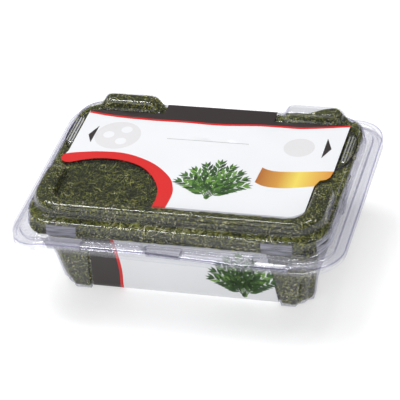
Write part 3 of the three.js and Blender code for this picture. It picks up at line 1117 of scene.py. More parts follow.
@dataclass(frozen=True)
class FlapForm:
    """Plan of a dispensing flap: straight sides and a squarish round end."""

    middle_y: float = 14.3
    half_depth: float = 10.6
    inner_x: float = 16.0
    round_start_x: float = 38.6
    outer_x: float = 45.3
    squareness: float = 2.5

    def depth(self, x: Array, y: Array, grow: float = 0.0) -> Array:
        """Rough distance inside the flap nearest to a place.

        Args:
            x: Places along the width.
            y: Places along the depth.
            grow: How far the outline is moved outwards.

        Returns:
            Positive inside, negative outside.
        """
        reach = self.outer_x + grow - self.round_start_x
        along = np.maximum(np.abs(x) - self.round_start_x, 0) / reach
        across = np.abs(y - self.middle_y) / (self.half_depth + grow)
        size = (along**self.squareness + across**self.squareness) ** (1 / self.squareness)
        scale = np.where(along > across, reach, self.half_depth)
        return np.minimum((1 - size) * scale, np.abs(x) - self.inner_x + grow)

    def outline(self, steps: int = 28) -> Line:
        """The right flap's outline, counter-clockwise.

        Args:
            steps: Steps round the end.

        Returns:
            The points.
        """
        points = [(self.inner_x, self.middle_y - self.half_depth)]
        for step in range(steps + 1):
            angle = math.pi * (step / steps - 0.5)
            power = 2 / self.squareness
            along = abs(math.cos(angle)) ** power
            across = math.copysign(abs(math.sin(angle)) ** power, math.sin(angle))
            reach = self.outer_x - self.round_start_x
            points.append((self.round_start_x + reach * along, self.middle_y + self.half_depth * across))
        points.append((self.inner_x, self.middle_y + self.half_depth))
        return points


@dataclass
class DispensingFlap:
    """One clear flap, with a raised grip pad and fine ribs at its round end."""

    finishes: Finishes
    side: int
    top: float = 30.7
    sheet: float = 0.26
    rim_drop: float = 0.2
    rim_width: float = 0.5
    rim_lines: Floats = (0.12, 0.35, 0.6)
    edge_depth: float = 0.36
    edge_from_x: float = 40.0
    pad_rise: float = 0.35
    pad_middle_x: float = 43.0
    pad_half_width: float = 1.5
    pad_half_length: float = 5.4
    pad_slope: float = 0.5
    pad_lines: Floats = (0.02, 0.25, 0.5)
    pad_finish_depth: float = 0.25
    rib_pitch: float = 0.92
    rib_level: float = 0.45
    rib_swing: float = 0.55
    plain_share: float = 0.55
    ribbed_share: float = 0.45
    rib_finish_from: float = 0.2
    form: FlapForm = FlapForm()

    def height(self, x: Array, y: Array) -> Array:
        """Height of the flap's upper skin.

        Args:
            x: Places along the width.
            y: Places along the depth.

        Returns:
            Heights in millimetres.
        """
        depth = self.form.depth(x, y)
        rim = self.rim_drop * smooth_share(1 - depth / self.rim_width)
        pad = smooth_share(self.pad_depth(x, y) / self.pad_slope)
        rib = self.rib_level + self.rib_swing * self.rib_wave(x)
        raised = self.pad_rise * pad * (self.plain_share + self.ribbed_share * rib)
        return self.top - self.pad_rise - rim + raised

    def rib_wave(self, x: Array) -> Array:
        """The ribs' wave, 1 on each rib and -1 between two."""
        return np.cos(2 * np.pi * np.abs(x) / self.rib_pitch)

    def pad_depth(self, x: Array, y: Array) -> Array:
        """Distance inside the long round pad that the ribs are on."""
        past_end = np.maximum(np.abs(y - self.form.middle_y) - self.pad_half_length, 0.0)
        return self.pad_half_width - np.hypot(np.abs(x) - self.pad_middle_x, past_end)

    def build(self) -> Piece:
        """Builds the flap.

        Returns:
            The finished piece, which stands for its CAD flap.
        """
        mesh = PlanMesh(self.form.outline())
        mesh.add_contours(self.form.depth, self.rim_lines, 0.5)
        ribs = (41.0, 45.0, 7.0, 21.6)
        mesh.add_contours(self.pad_depth, self.pad_lines, 0.3, ribs)
        mesh.add_contours(lambda x, y: x, np.arange(41.4, 44.8, self.rib_pitch / 4), 0.9, ribs)
        mesh.add_grid(2.5)
        points, faces = mesh.triangles()
        heights = self.height(points[:, 0], points[:, 1])
        if self.side < 0:
            points = points * np.array([-1, 1])
            faces = faces[:, ::-1]
        name = "right" if self.side > 0 else "left"
        piece = make_object(f"dispensing_flap_{name}", np.column_stack([points, heights]), faces)
        clean(piece)
        x, y, _ = face_middles(piece).T
        on_edge = (self.form.depth(x, y) < self.edge_depth) & (np.abs(x) > self.edge_from_x)
        on_pad = self.pad_depth(x, y) > self.pad_finish_depth
        # The milky finish on the rib crests is painted highlight.
        on_rib = on_pad & (self.rib_wave(x) > self.rib_finish_from)
        rib = self.finishes.rib if self.side > 0 else self.finishes.bright_rib_highlight
        paint(piece, (self.finishes.sheet, self.finishes.edge, rib), on_edge + 2 * on_rib)
        thicken(piece, self.sheet)
        smooth(piece)
        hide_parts(f"flap_{name}")
        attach(piece, Body.LID.value)
        return piece


@dataclass
class TrayShell:
    """The base tray: fluted corners, a recessed band for the label, flange and skirt."""

    finishes: Finishes
    flange: FlangeForm
    middle_y: float = 1.6
    floor_half_width: float = 38.4
    rim_half_width: float = 42.3
    floor_half_depth: float = 27.0
    rim_half_depth: float = 29.6
    corner_leg: float = 4.7
    edge_radius: float = 1.4
    flute_depth: float = 0.45
    recess_depth: float = 1.1
    recess_half_length: float = 19.3
    recess_slope: float = 0.8
    recess_taper: float = 0.6
    band_depth: float = 0.8
    band_wall: float = 0.28
    band_half_floor: float = 29.3
    band_half_rim: float = 27.3
    flange_under: float = 23.95
    rim_fillet: float = 0.6
    skirt_bottom: float = 22.82
    front_cut: float = 0.85
    cut_middle_x: float = -1.5
    cut_across: Ease = Ease(25.0, -3.0)
    cut_rear: float = -30.0
    sheet: float = 0.26
    full_height: float = 24.35
    rim_drop: float = 0.22
    rim_width: float = 0.5
    flange_finish_drop: float = 0.3
    bulge: float = 0.7
    bulge_across: Ease = Ease(-30.0, -8.0)
    bulge_up: Ease = Ease(23.6, -3.0)

    def quarter(self, height: float, pull: float) -> tuple[Line, int]:
        """Outline of the front right quarter, from the front centre to the right centre.

        Args:
            height: Height of the outline.
            pull: How far the outline is pulled in.

        Returns:
            The points, measured from the tray's middle, and how many lie in the label band.
        """
        share = height / self.full_height
        half_width = self.floor_half_width + (self.rim_half_width - self.floor_half_width) * share - pull
        half_depth = self.floor_half_depth + (self.rim_half_depth - self.floor_half_depth) * share - pull
        leg = self.corner_leg - (2 - math.sqrt(2)) * pull
        band = self.band_half_floor + (self.band_half_rim - self.band_half_floor) * share
        points = [(band * part / 6, -half_depth + self.band_depth) for part in range(7)]
        in_band = len(points)
        wall = self.band_wall
        points.append((band + wall, -half_depth))
        flat_end = half_width - leg
        points.extend((band + wall + (flat_end - band - wall) * part / 3, -half_depth) for part in (1, 2))
        for fold in range(21):
            along = fold / 20
            wave = 0.5 - 0.5 * math.cos(4 * math.pi * along)
            deep = self.flute_depth * wave * math.sqrt(0.5)
            points.append((flat_end + leg * along - deep, -half_depth + leg * along + deep))
        recess_start = -self.recess_half_length - self.recess_taper * pull
        recessed = half_width - self.recess_depth
        points.append((half_width, recess_start))
        points.extend((recessed, (recess_start + self.recess_slope) * (1 - part / 4)) for part in range(5))
        return points, in_band

    def ring(self, height: float, pull: float, lift: float) -> Array:
        """The full outline as points in space.

        Args:
            height: Height of the outline.
            pull: How far the outline is pulled in.
            lift: How much higher the label band is.

        Returns:
            The points, counter-clockwise from the front centre.
        """
        quarter, in_band = self.quarter(height, pull)
        front_right = [(x, y, height + (lift if i < in_band else 0)) for i, (x, y) in enumerate(quarter)]
        rear_right = [(x, -y, z) for x, y, z in front_right[-2::-1]]
        rear_left = [(-x, -y, z) for x, y, z in front_right[1:]]
        front_left = [(-x, y, z) for x, y, z in front_right[-2:0:-1]]
        order = [*front_right, *rear_right, *rear_left, *front_left]
        return np.array(order) + np.array([0, self.middle_y, 0])

    def wall_rings(self) -> list[Array]:
        """All outlines from the floor to the flange.

        Returns:
            The rings, lowest first.
        """
        rings = []
        for step in range(7):
            angle = math.pi / 2 * step / 6
            height = self.edge_radius * (1 - math.cos(angle))
            rings.append(self.ring(height, self.edge_radius * (1 - math.sin(angle)), self.band_depth))
        top = self.flange_under - self.rim_fillet
        for step in range(1, 11):
            share = step / 10
            height = self.edge_radius + (top - self.edge_radius) * share
            rings.append(self.ring(height, 0, self.band_depth * (1 - share)))
        for step in range(1, 6):
            angle = math.pi / 2 * step / 5
            height = top + self.rim_fillet * math.sin(angle)
            rings.append(self.ring(height, -self.rim_fillet * (1 - math.cos(angle)), 0))
        return rings

    def floor_faces(self, ring: Array, in_band: int, last: int) -> list[list[int]]:
        """Faces that close the floor: two feet, the raised band and its side walls.

        Args:
            ring: The lowest outline.
            in_band: How many points of a quarter lie in the label band.
            last: Number of a quarter's last point.

        Returns:
            Index rows.
        """
        count = len(ring)
        step_front_right, step_rear_right = in_band, 2 * last - in_band
        step_rear_left, step_front_left = 2 * last + in_band, count - in_band
        right_foot = list(range(step_front_right, step_rear_right + 1))
        left_foot = list(range(step_rear_left, step_front_left + 1))
        front_band = list(range(step_front_left + 1, count)) + list(range(0, in_band))
        rear_band = list(range(step_rear_right + 1, step_rear_left))
        faces = [right_foot[::-1], left_foot[::-1], (front_band + rear_band)[::-1]]
        faces.append([in_band - 1, step_front_right, step_rear_right, step_rear_right + 1])
        faces.append([step_rear_left - 1, step_rear_left, step_front_left, step_front_left + 1])
        return faces

    def build(self) -> Piece:
        """Builds the tray.

        Returns:
            The finished piece, which stands for the base tray.
        """
        rings = self.wall_rings()
        count = len(rings[0])
        points = np.concatenate(rings)
        faces = []
        for level in range(len(rings) - 1):
            for i in range(count):
                low, low_next = level * count + i, level * count + (i + 1) % count
                faces.append([low, low_next, low_next + count, low + count])
        quarter, in_band = self.quarter(0, self.edge_radius)
        faces.extend(self.floor_faces(rings[0], in_band, len(quarter) - 1))
        flange_points, flange_faces, rim = self.flange_skin(rings[-1])
        faces.extend((flange_faces + len(points)).tolist())
        start = len(points) + len(flange_points)
        skirt_points, skirt_faces = self.skirt(rim)
        faces.extend((np.array(skirt_faces) + start).tolist())
        placed = self.flange.settle_edges(np.concatenate([points, flange_points, skirt_points]))
        piece = make_object("tray_shell", self.bulge_left(placed), faces)
        clean(piece, 0.01, outwards=True)
        self.point_down(piece)
        in_flange = face_middles(piece)[:, 2] > self.flange_under - self.flange_finish_drop
        paint(piece, (self.finishes.tray, self.finishes.flange), in_flange)
        thicken(piece, self.sheet)
        smooth(piece)
        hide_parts("base_tray")
        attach(piece, Body.BASE.value)
        return piece

    @classmethod
    def bulge_left(cls, points: Array) -> Array:
        """Moves the left wall out a little, where the dill presses on it."""
        moved = points.copy()
        moved[:, 0] -= cls.bulge * (cls.bulge_across.at(points[:, 0]) * cls.bulge_up.at(points[:, 2]))
        return moved

    def point_down(self, piece: Piece) -> None:
        """Turns the skin over if its floor faces up."""
        lowest = min(piece.data.polygons, key=lambda face: face.center.z)
        if lowest.normal.z > 0:
            piece.data.flip_normals()

    def flange_skin(self, hole: Array) -> tuple[Array, Array, Array]:
        """The underside of the flange, round the tray's top outline.

        Args:
            hole: The tray's top outline.

        Returns:
            Points, faces, and the outer rim as points in space.
        """
        plan, sheet = self.flange.plan, self.sheet
        inner = RoundedPlan(plan.half_width - sheet, plan.front + sheet, plan.rear - sheet,
                            plan.radius_front - sheet, plan.radius_rear - sheet)
        outline = inner.outline(20)
        mesh = PlanMesh(outline)
        mesh.add_loop(hole[:, :2].tolist())
        self.flange.add_lines(mesh)
        flat, faces = mesh.triangles()
        middles = flat[faces].mean(axis=1)
        faces = faces[~inside_plan(middles, hole[:, :2].tolist())]
        edge = inner.depth(flat[:, 0], flat[:, 1])
        drop = self.rim_drop * smooth_share(1 - edge / self.rim_width)
        height = self.flange_under + self.flange.relief(flat[:, 0], flat[:, 1]) - drop
        rim = np.array([(x, y, self.flange_under - self.rim_drop) for x, y in outline])
        return np.column_stack([flat, height]), faces, rim

    def skirt(self, rim: Array) -> tuple[Array, list[list[int]]]:
        """The turned-down edge of the flange, cut away along part of the front.

        Args:
            rim: The flange's outer rim.

        Returns:
            Points and faces.
        """
        count = len(rim)
        lowered = rim.copy()
        cut = self.cut_across.at(np.abs(rim[:, 0] - self.cut_middle_x)) * (rim[:, 1] < self.cut_rear)
        lowered[:, 2] = self.skirt_bottom + self.front_cut * cut
        faces = []
        for i in range(count):
            after = (i + 1) % count
            faces.append([i, i + count, after + count, after])
        return np.concatenate([rim, lowered]), faces


@dataclass
class HingeWeb:
    """The living hinge: a thin folded web behind the two flanges."""

    finishes: Finishes
    half_length: float = 38.0
    edge_y: float = 35.9
    overlap: float = 0.3
    reach: float = 0.75
    middle_z: float = 24.5
    half_gap: float = 0.36
    half_height: float = 0.5
    sheet: float = 0.22

    def section(self) -> Line:
        """The web's section.

        Returns:
            Rows of y and z, from the base's edge to the lid's.
        """
        rows = [(self.edge_y, self.middle_z - self.half_gap)]
        for step in range(13):
            angle = math.pi * (step / 12 - 0.5)
            y = self.edge_y + self.overlap + self.reach * math.cos(angle)
            rows.append((y, self.middle_z + self.half_height * math.sin(angle)))
        rows.append((self.edge_y, self.middle_z + self.half_gap))
        return rows

    def build(self) -> Piece:
        """Builds the web between the two bodies.

        Returns:
            The finished piece, which stands for the living hinge.
        """
        section = self.section()
        points, faces = [], []
        steps = 38
        for part in range(steps + 1):
            x = -self.half_length + 2 * self.half_length * part / steps
            points.extend((x, y, z) for y, z in section)
        rows = len(section)
        for part in range(steps):
            for i in range(rows - 1):
                low = part * rows + i
                faces.append([low, low + 1, low + 1 + rows, low + rows])
        piece = make_object("hinge_web", np.array(points), faces)
        middle = piece.data.polygons[len(section) // 2]
        if middle.normal.y < 0:
            piece.data.flip_normals()
        thicken(piece, self.sheet)
        smooth(piece, 60)
        dress(piece, [self.finishes.sheet])
        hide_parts("living_hinge")
        low = (0.0, self.edge_y * MM, (self.middle_z - self.half_height) * MM)
        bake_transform(piece)
        return piece


def curve_through(points: Plan, steps: int = 8) -> Line:
    """A smooth line through points.

    Args:
        points: Points that the line passes through.
        steps: Steps between two points.

    Returns:
        The line's points, both ends included.
    """
    ends = [points[0], *points, points[-1]]
    line = []
    for before, start, end, after in zip(ends, ends[1:], ends[2:], ends[3:]):
        for step in range(steps):
            t = step / steps
            point = []
            for a, b, c, d in zip(before, start, end, after):
                squared, cubed = 2 * a - 5 * b + 4 * c - d, 3 * b - a - 3 * c + d
                point.append(0.5 * (2 * b + (c - a) * t + squared * t**2 + cubed * t**3))
            line.append(tuple(point))
    line.append(tuple(points[-1]))
    return line


def circle(centre_x: float, centre_y: float, radius: float, steps: int = 40) -> Line:
    """A circle's outline, counter-clockwise."""
    angles = [step * (2 * math.pi / steps) for step in range(steps)]
    return [(centre_x + radius * math.cos(angle), centre_y + radius * math.sin(angle)) for angle in angles]


@dataclass
class PrintedRegion:
    """A printed area of a label."""

    outline: Line
    material: Material


def printed_sheet(name: str, outline: Plan, ground: Material, regions: Sequence[PrintedRegion],
                  grid: float, place: Placing, thickness: float) -> Piece:
    """A thin label whose printed areas are parts of one mesh.

    Args:
        name: Name of the piece.
        outline: Outline of the label.
        ground: Material of the unprinted label.
        regions: Printed areas; later ones lie over earlier ones.
        grid: Spacing of loose points, for a label that is bent.
        place: Turns plan points into points in space.
        thickness: Thickness of the film.

    Returns:
        The piece, with one material slot for each ink.
    """
    mesh = PlanMesh(outline)
    for region in regions:
        mesh.add_loop(region.outline)
    mesh.add_grid(grid)
    flat, faces = mesh.triangles()
    middles = flat[faces].mean(axis=1)
    inks = [ground]
    index = np.zeros(len(faces), int)
    for region in regions:
        if region.material not in inks:
            inks.append(region.material)
        index[inside_plan(middles, region.outline)] = inks.index(region.material)
    piece = make_object(name, place(flat), faces)
    paint(piece, inks, index)
    clean(piece, 0.001)
    thicken(piece, thickness)
    return piece


@dataclass(frozen=True)
class Sprig:
    """A printed sprig: a curved stem with pairs of slender leaves."""

    start: Pair
    bend: Pair
    tip: Pair
    pairs: int
    leaf: float

    def stem_point(self, share: float) -> Pair:
        """A place along the stem."""
        first, second, third = (1 - share) ** 2, 2 * share * (1 - share), share**2
        x, y = (first * a + second * b + third * c for a, b, c in zip(self.start, self.bend, self.tip))
        return x, y

    def heading(self, share: float) -> float:
        """Direction of the stem at a place along it."""
        behind, ahead = self.stem_point(share - 0.02), self.stem_point(share + 0.02)
        return math.atan2(ahead[1] - behind[1], ahead[0] - behind[0])

    def marks(self) -> list[tuple[float, float, float, float, float]]:
        """Place, direction, length and width of every printed mark.

        Returns:
            One row for each piece of stem and each leaf.
        """
        rows = []
        for part in range(8):
            share = (part + 0.5) / 8
            length = 1.5 * math.dist(self.stem_point(part / 8), self.stem_point((part + 1) / 8))
            rows.append((*self.stem_point(share), self.heading(share), length, 0.34 - 0.02 * part))
        for pair in range(self.pairs):
            share = 0.24 + 0.74 * pair / (self.pairs - 1)
            x, y = self.stem_point(share)
            length = self.leaf * (0.6 + 0.4 * math.sin(math.pi * (0.1 + 0.8 * share)))
            for side in (-1, 1):
                angle = self.heading(share) + side * (0.95 - 0.5 * share)
                reach = length * 0.5
                rows.append((x + reach * math.cos(angle), y + reach * math.sin(angle), angle, length,
                             0.30 * length))
        x, y = self.tip
        angle = self.heading(1.0)
        rows.append((x + 0.3 * self.leaf * math.cos(angle), y + 0.3 * self.leaf * math.sin(angle), angle,
                     0.8 * self.leaf, 0.2 * self.leaf))
        return rows


def fan_of_sprigs(root: Pair, reach: float, leaf: float) -> list[Sprig]:
    """Sprigs that spread upwards from one place.

    Args:
        root: The place that the stems grow from.
        reach: Length of the middle stem.
        leaf: Length of the longest leaves.

    Returns:
        The sprigs.
    """
    sprigs = []
    for number in range(9):
        lean = (number - 4) / 4
        angle = math.pi / 2 - 0.93 * lean
        length = reach * (1 - 0.30 * abs(lean))
        tip = (root[0] + length * math.cos(angle), root[1] + length * math.sin(angle))
        bend = (root[0] + 0.18 * length * math.cos(angle), root[1] + 0.6 * length * math.sin(angle))
        sprigs.append(Sprig((root[0] + 0.5 * lean, root[1]), bend, tip, 7, leaf))
    return sprigs


class NodeTree(NodeMaker):
    """A Geometry Nodes tree."""

    prefix = "GeometryNode"

    def __init__(self, name: str, sizes: dict[str, float]) -> None:
        """Makes a tree with one geometry input, named sizes and one geometry output.

        Args:
            name: Name of the tree.
            sizes: Default value of each named input; a whole number makes a whole-number input.
        """
        super().__init__(bpy.data.node_groups.new(name, "GeometryNodeTree"))
        face = self.tree.interface
        face.new_socket("Geometry", in_out="INPUT", socket_type="NodeSocketGeometry")
        for key, value in sizes.items():
            kind = "NodeSocketInt" if isinstance(value, int) else "NodeSocketFloat"
            face.new_socket(key, in_out="INPUT", socket_type=kind).default_value = value
        face.new_socket("Geometry", in_out="OUTPUT", socket_type="NodeSocketGeometry")
        self.source = self.tree.nodes.new("NodeGroupInput")
        self.sink = self.tree.nodes.new("NodeGroupOutput")

    def chance(self, seed: Socket, offset: float, low: Value, high: Value) -> Socket:
        """Adds a random number for each point.

        Args:
            seed: The tree's seed.
            offset: Sets this number apart from the others.
            low: Lowest value, or a socket that gives it.
            high: Highest value, or a socket that gives it.

        Returns:
            The number's socket.
        """
        own_seed = self.math("ADD", seed, float(offset))
        node = self.add("FunctionNodeRandomValue", {"data_type": "FLOAT"}, i2=low, i3=high, Seed=own_seed)
        return node.outputs[1]

    def finish(self, instances: Node, shade_name: str, shade: Socket,
               material: Material) -> bpy.types.NodeTree:
        """Ends the tree in Realize Instances and Set Material.

        Args:
            instances: The node that sets out the instances.
            shade_name: Name of the attribute that holds each instance's shade.
            shade: The shades.
            material: The finish.

        Returns:
            The tree.
        """
        kept = self.add("StoreNamedAttribute", {"data_type": "FLOAT", "domain": "INSTANCE"},
                        Geometry=instances.outputs[0], Name=shade_name, Value=shade)
        real = self.add("RealizeInstances", Geometry=kept.outputs[0])
        dressed = self.add("SetMaterial", Geometry=real.outputs[0], Material=material)
        self.tree.links.new(dressed.outputs[0], self.sink.inputs[0])
        return self.tree


def apply_tree(piece: Piece, tree: bpy.types.NodeTree, values: dict[str, float]) -> None:
    """Runs a Geometry Nodes tree on a piece and keeps the plain result.

    Args:
        piece: The piece that the tree starts from.
        tree: The tree.
        values: Values of the tree's named inputs.
    """
    modifier = piece.modifiers.new("pattern", "NODES")
    modifier.node_group = tree
    for item in tree.interface.items_tree:
        if item.item_type == "SOCKET" and item.in_out == "INPUT" and item.name in values:
            modifier[item.identifier] = values[item.name]
    settle(piece)


def flake_mesh(name: str, bend: float, widest: float) -> Piece:
    """One flake of dried dill: a thin three-sided blade, pointed at both ends.

    Args:
        name: Name of the source object.
        bend: How far its middle is off the straight, as a share of its width.
        widest: Where it is widest, from 0 to 1.

    Returns:
        The hidden source object, one unit in length, width and thickness.
    """
    points = [(-0.5, 0.0, 0.0)]
    for corner in range(3):
        angle = 2 * math.pi * corner / 3 + math.pi / 2
        points.append((widest - 0.5, bend + 0.5 * math.cos(angle), 0.5 * math.sin(angle)))
    points.append((0.5, 0.0, 0.0))
    faces = []
    for corner in range(3):
        after = (corner + 1) % 3
        faces.append((0, 1 + after, 1 + corner))
        faces.append((4, 1 + corner, 1 + after))
    mesh = bpy.data.meshes.new(name)
    mesh.from_pydata(points, [], faces)
    work = bmesh.new()
    work.from_mesh(mesh)
    bmesh.ops.recalc_face_normals(work, faces=work.faces)
    work.to_mesh(mesh)
    work.free()
    return bpy.data.objects.new(name, mesh)


@dataclass(frozen=True)
class FlakeMix:
    """How one layer of flakes is strewn; sizes in millimetres, density per square millimetre."""

    density: float
    shortest: float
    longest: float
    width: float = 0.34
    thickness: float = 0.13
    tilt: float = 0.5
    facing_up: float = -2.0
    dullest: float = 0.0
    brightest: float = 1.0

    def inputs(self) -> dict[str, float]:
        """Values of the tree's inputs.

        Returns:
            The values, in metres, by the inputs' names.
        """
        return {
            "Density": self.density * PER_SQUARE_METRE,
            "Shortest": self.shortest * MM,
            "Longest": self.longest * MM,
            "Width": self.width * MM,
            "Thickness": self.thickness * MM,
            "Tilt": self.tilt,
            "Facing Up": self.facing_up,
            "Dullest": self.dullest,
            "Brightest": self.brightest,
        }


FINE = FlakeMix(density=1.75, shortest=0.4, longest=1.2, width=0.38, tilt=0.36)
DUST = FlakeMix(density=1.75, shortest=0.22, longest=0.7, width=0.46, tilt=0.3, dullest=0.2)
SPECKS = FlakeMix(density=1.5, shortest=0.2, longest=0.5, width=0.6, thickness=0.1, tilt=0.2, dullest=0.5)
LONG = FlakeMix(density=2.0, shortest=1.4, longest=4.6, thickness=0.26, tilt=0.3, facing_up=0.6,
                brightest=0.98)
DENSE = FlakeMix(density=5.0, shortest=0.28, longest=0.85, width=0.46, thickness=0.14, tilt=0.36, dullest=0.1)


class DillTree:
    """Geometry Nodes that strew flakes over a surface."""

    def __init__(self, finishes: Finishes) -> None:
        """Builds the flakes and the tree.

        Args:
            finishes: The pack's finishes.
        """
        self.flakes = bpy.data.collections.new("flake_shapes")
        bends_and_widest = ((0.0, 0.4), (-0.7, 0.5), (0.9, 0.45), (0.3, 0.65))
        for number, (bend, widest) in enumerate(bends_and_widest):
            self.flakes.objects.link(flake_mesh(f"flake_{number}", bend, widest))
        self.tree = self.build(finishes)

    def build(self, finishes: Finishes) -> bpy.types.NodeTree:
        """Builds the tree.

        Args:
            finishes: The pack's finishes.

        Returns:
            The tree, whose inputs are density, flake sizes, tilt and seed.
        """
        nodes = NodeTree("strewn dill", {**FINE.inputs(), "Seed": 1})
        given = nodes.source.outputs
        way = nodes.add("ShaderNodeSeparateXYZ", i0=nodes.add("InputNormal").outputs[0])
        chosen = nodes.add("FunctionNodeCompare", {"data_type": "FLOAT", "operation": "GREATER_THAN"},
                           i0=way.outputs["Z"], i1=given["Facing Up"])
        spread = nodes.add("DistributePointsOnFaces", Mesh=given["Geometry"], Selection=chosen.outputs[0],
                           Density=given["Density"], Seed=given["Seed"])
        lying = nodes.add("FunctionNodeAlignEulerToVector", {"axis": "Z"}, Vector=spread.outputs["Normal"])
        back = nodes.math("MULTIPLY", given["Tilt"], -1.0)
        roll = nodes.chance(given["Seed"], 11, back, given["Tilt"])
        pitch = nodes.chance(given["Seed"], 17, back, given["Tilt"])
        spin = nodes.chance(given["Seed"], 3, 0.0, 2 * math.pi)
        turn = nodes.add("ShaderNodeCombineXYZ", X=roll, Y=pitch, Z=spin)
        turned = nodes.add("FunctionNodeRotateEuler", {"rotation_type": "EULER", "space": "LOCAL"},
                           Rotation=lying.outputs[0], Rotate_By=turn.outputs[0])
        length = nodes.chance(given["Seed"], 23, given["Shortest"], given["Longest"])
        girth = nodes.chance(given["Seed"], 37, 0.55, 1.4)
        wide = nodes.math("MULTIPLY", given["Width"], girth)
        size = nodes.add("ShaderNodeCombineXYZ", X=length, Y=wide, Z=given["Thickness"])
        shapes = nodes.add("CollectionInfo", {"transform_space": "ORIGINAL"}, Collection=self.flakes,
                           Separate_Children=True, Reset_Children=True)
        strewn = nodes.add("InstanceOnPoints", Points=spread.outputs["Points"], Instance=shapes.outputs[0],
                           Pick_Instance=True, Rotation=turned.outputs[0], Scale=size.outputs[0])
        shade = nodes.chance(given["Seed"], 53, given["Dullest"], given["Brightest"])
        return nodes.finish(strewn, "flake_shade", shade, finishes.flake)


@dataclass
class DillMass:
    """A packed block of dill, and the layers of flakes that cover it."""

    finishes: Finishes
    tree: DillTree
    node: str
    body: Body
    layers: Sequence[FlakeMix]
    seed: int
    voxel: float = 0.6
    lumps: float = 0.25
    swell: float = 0.33
    wave_count: int = 24
    wave_pitch: float = 900.0

    def core(self) -> Piece:
        """A lumpy solid that fills the node's space.

        Returns:
            The core, with its finish.
        """
        piece = self.shape()
        clean(piece, 0.002, outwards=True)
        grid = piece.modifiers.new("grain", "REMESH")
        grid.mode = "VOXEL"
        grid.voxel_size = self.voxel * MM
        settle(piece)
        self.sink(piece)
        smooth(piece, 180)
        dress(piece, [self.finishes.core])
        return piece

    def shape(self) -> Piece:
        """A copy of the node's own block."""
        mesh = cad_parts[self.node].data.copy()
        mesh.name = self.node + "_core"
        return add_object(mesh.name, mesh)

    def sink(self, piece: Piece) -> None:
        """Presses the surface in unevenly.

        Args:
            piece: The core.
        """
        points = read_rows(piece.data.vertices, "co")
        normals = read_rows(piece.data.vertices, "normal")
        random = np.random.default_rng(self.seed)
        waves = random.normal(size=(self.wave_count, 3)) * self.wave_pitch
        phases = random.uniform(0, 2 * np.pi, self.wave_count)
        lumps = np.sin(points @ waves.T + phases).sum(axis=1) / math.sqrt(self.wave_count)
        inwards = self.lumps * smooth_share(0.5 + lumps * 0.5) - self.swell
        move_points(piece, self.fit(points / MM - normals * inwards[:, None], normals) * MM)

    def fit(self, points: Array, normals: Array) -> Array:
        """Fits the surface to its surroundings, in millimetres; here it stays as it is."""
        return points

    def build(self) -> list[Piece]:
        """Builds the core and its flakes.

        Returns:
            The pieces, which stand for the node.
        """
        core = self.core()
        made = [core]
        for number, mix in enumerate(self.layers):
            flakes = add_object(f"{self.node}_flakes_{number + 1}", core.data.copy())
            apply_tree(flakes, self.tree.tree, {**mix.inputs(), "Seed": self.seed + 100 * number})
            made.append(flakes)
        for piece in made:
            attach(piece, self.body.value)
        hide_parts(self.node)
        return made


@dataclass(frozen=True)
class Ripple:
    """A wave along one way that snakes along the other."""

    pitch: float
    sway: float
    sway_pitch: float

    def at(self, first: Array, second: Array) -> Array:
        """Height of the wave, from -1 to 1."""
        return np.sin(first * self.pitch + self.sway * np.sin(second * self.sway_pitch))


@dataclass
class TrayDill(DillMass):
    """Dill that fills the tray and the dome above it."""

    dome_up: Ease = Ease(24.4, 0.6)
    dome_swell: float = 0.25
    front_along: Ease = Ease(-26.0, -2.0)
    front_swell: float = 0.45
    hollow_depth: float = 2.3
    hollow_up: Ease = Ease(28.9, -2.2)
    hollow_across: Ease = Ease(36.8, 3.0)
    hollow_along: Ease = Ease(27.0, -3.0)
    well_relief: float = 0.9
    well_facing: Ease = Ease(0.6, 0.3)
    well_across: Ease = Ease(38.0, -2.0)
    well_along: Ease = Ease(-25.0, 2.0)
    ripple_across: Ripple = Ripple(1.3, 1.7, 0.7)
    ripple_along: Ripple = Ripple(1.5, 1.3, 0.9)

    def fit(self, points: Array, normals: Array) -> Array:
        """Fits the surface to the dome, with a hollow at the right and ripples in the well.

        Args:
            points: Places on the surface.
            normals: Directions of the surface.

        Returns:
            The moved places.
        """
        x, y, z = points.T
        in_dome = self.dome_up.at(z)
        level = normals * np.array([1.0, 1.0, 0.0])
        outwards = in_dome * (self.dome_swell + self.front_swell * self.front_along.at(y))
        moved = points + level * outwards[:, None]
        at_right = self.hollow_across.at(x) * self.hollow_along.at(y)
        moved -= level * (self.hollow_depth * in_dome * self.hollow_up.at(z) * at_right)[:, None]
        on_top = self.well_facing.at(normals[:, 2])
        in_well = self.well_across.at(np.abs(x)) * self.well_along.at(y)
        across, along = self.ripple_across.at(x, y), self.ripple_along.at(y, x)
        moved[:, 2] -= self.well_relief * on_top * in_well * smooth_share(0.5 + 0.5 * across * along)
        return TrayShell.bulge_left(moved)


@dataclass
class LidDill(DillMass):
    """Dill that fills a raised part of the lid, right up to the sheet."""

    lid: LidShell | None = None
    plan: RoundedPlan | None = None
    hole: RoundedPlan | None = None
    bottom: float = 29.5
    thinnest: float = 0.3
    clearance: float = 0.4
    slump: float = 0.0
    slump_shift: float = 3.0
    slump_width: float = 8.0

    def shape(self) -> Piece:
        """A block between a flat underside and the lid's inner face.

        Returns:
            The block.
        """
        mesh = PlanMesh(self.plan.outline(8))
        if self.hole is not None:
            mesh.add_contours(self.hole.depth, (0.0,), 0.5)
        mesh.add_grid(0.7)
        points, faces = mesh.triangles()
        if self.hole is not None:
            middles = points[faces].mean(axis=1)
            faces = faces[self.hole.depth(middles[:, 0], middles[:, 1]) < 0]
        top = self.lid.height(points[:, 0], points[:, 1]) - self.clearance
        middle_x, middle_y = (points.min(axis=0) + points.max(axis=0)) / 2
        across = (middle_x + self.slump_shift - points[:, 0]) / self.slump_width
        slumped = smooth_share(across + (points[:, 1] - middle_y) / self.slump_width)
        top = np.maximum(top - self.slump * slumped, self.bottom + self.thinnest)
        return closed_block(self.node + "_core", points, faces, top, self.bottom)


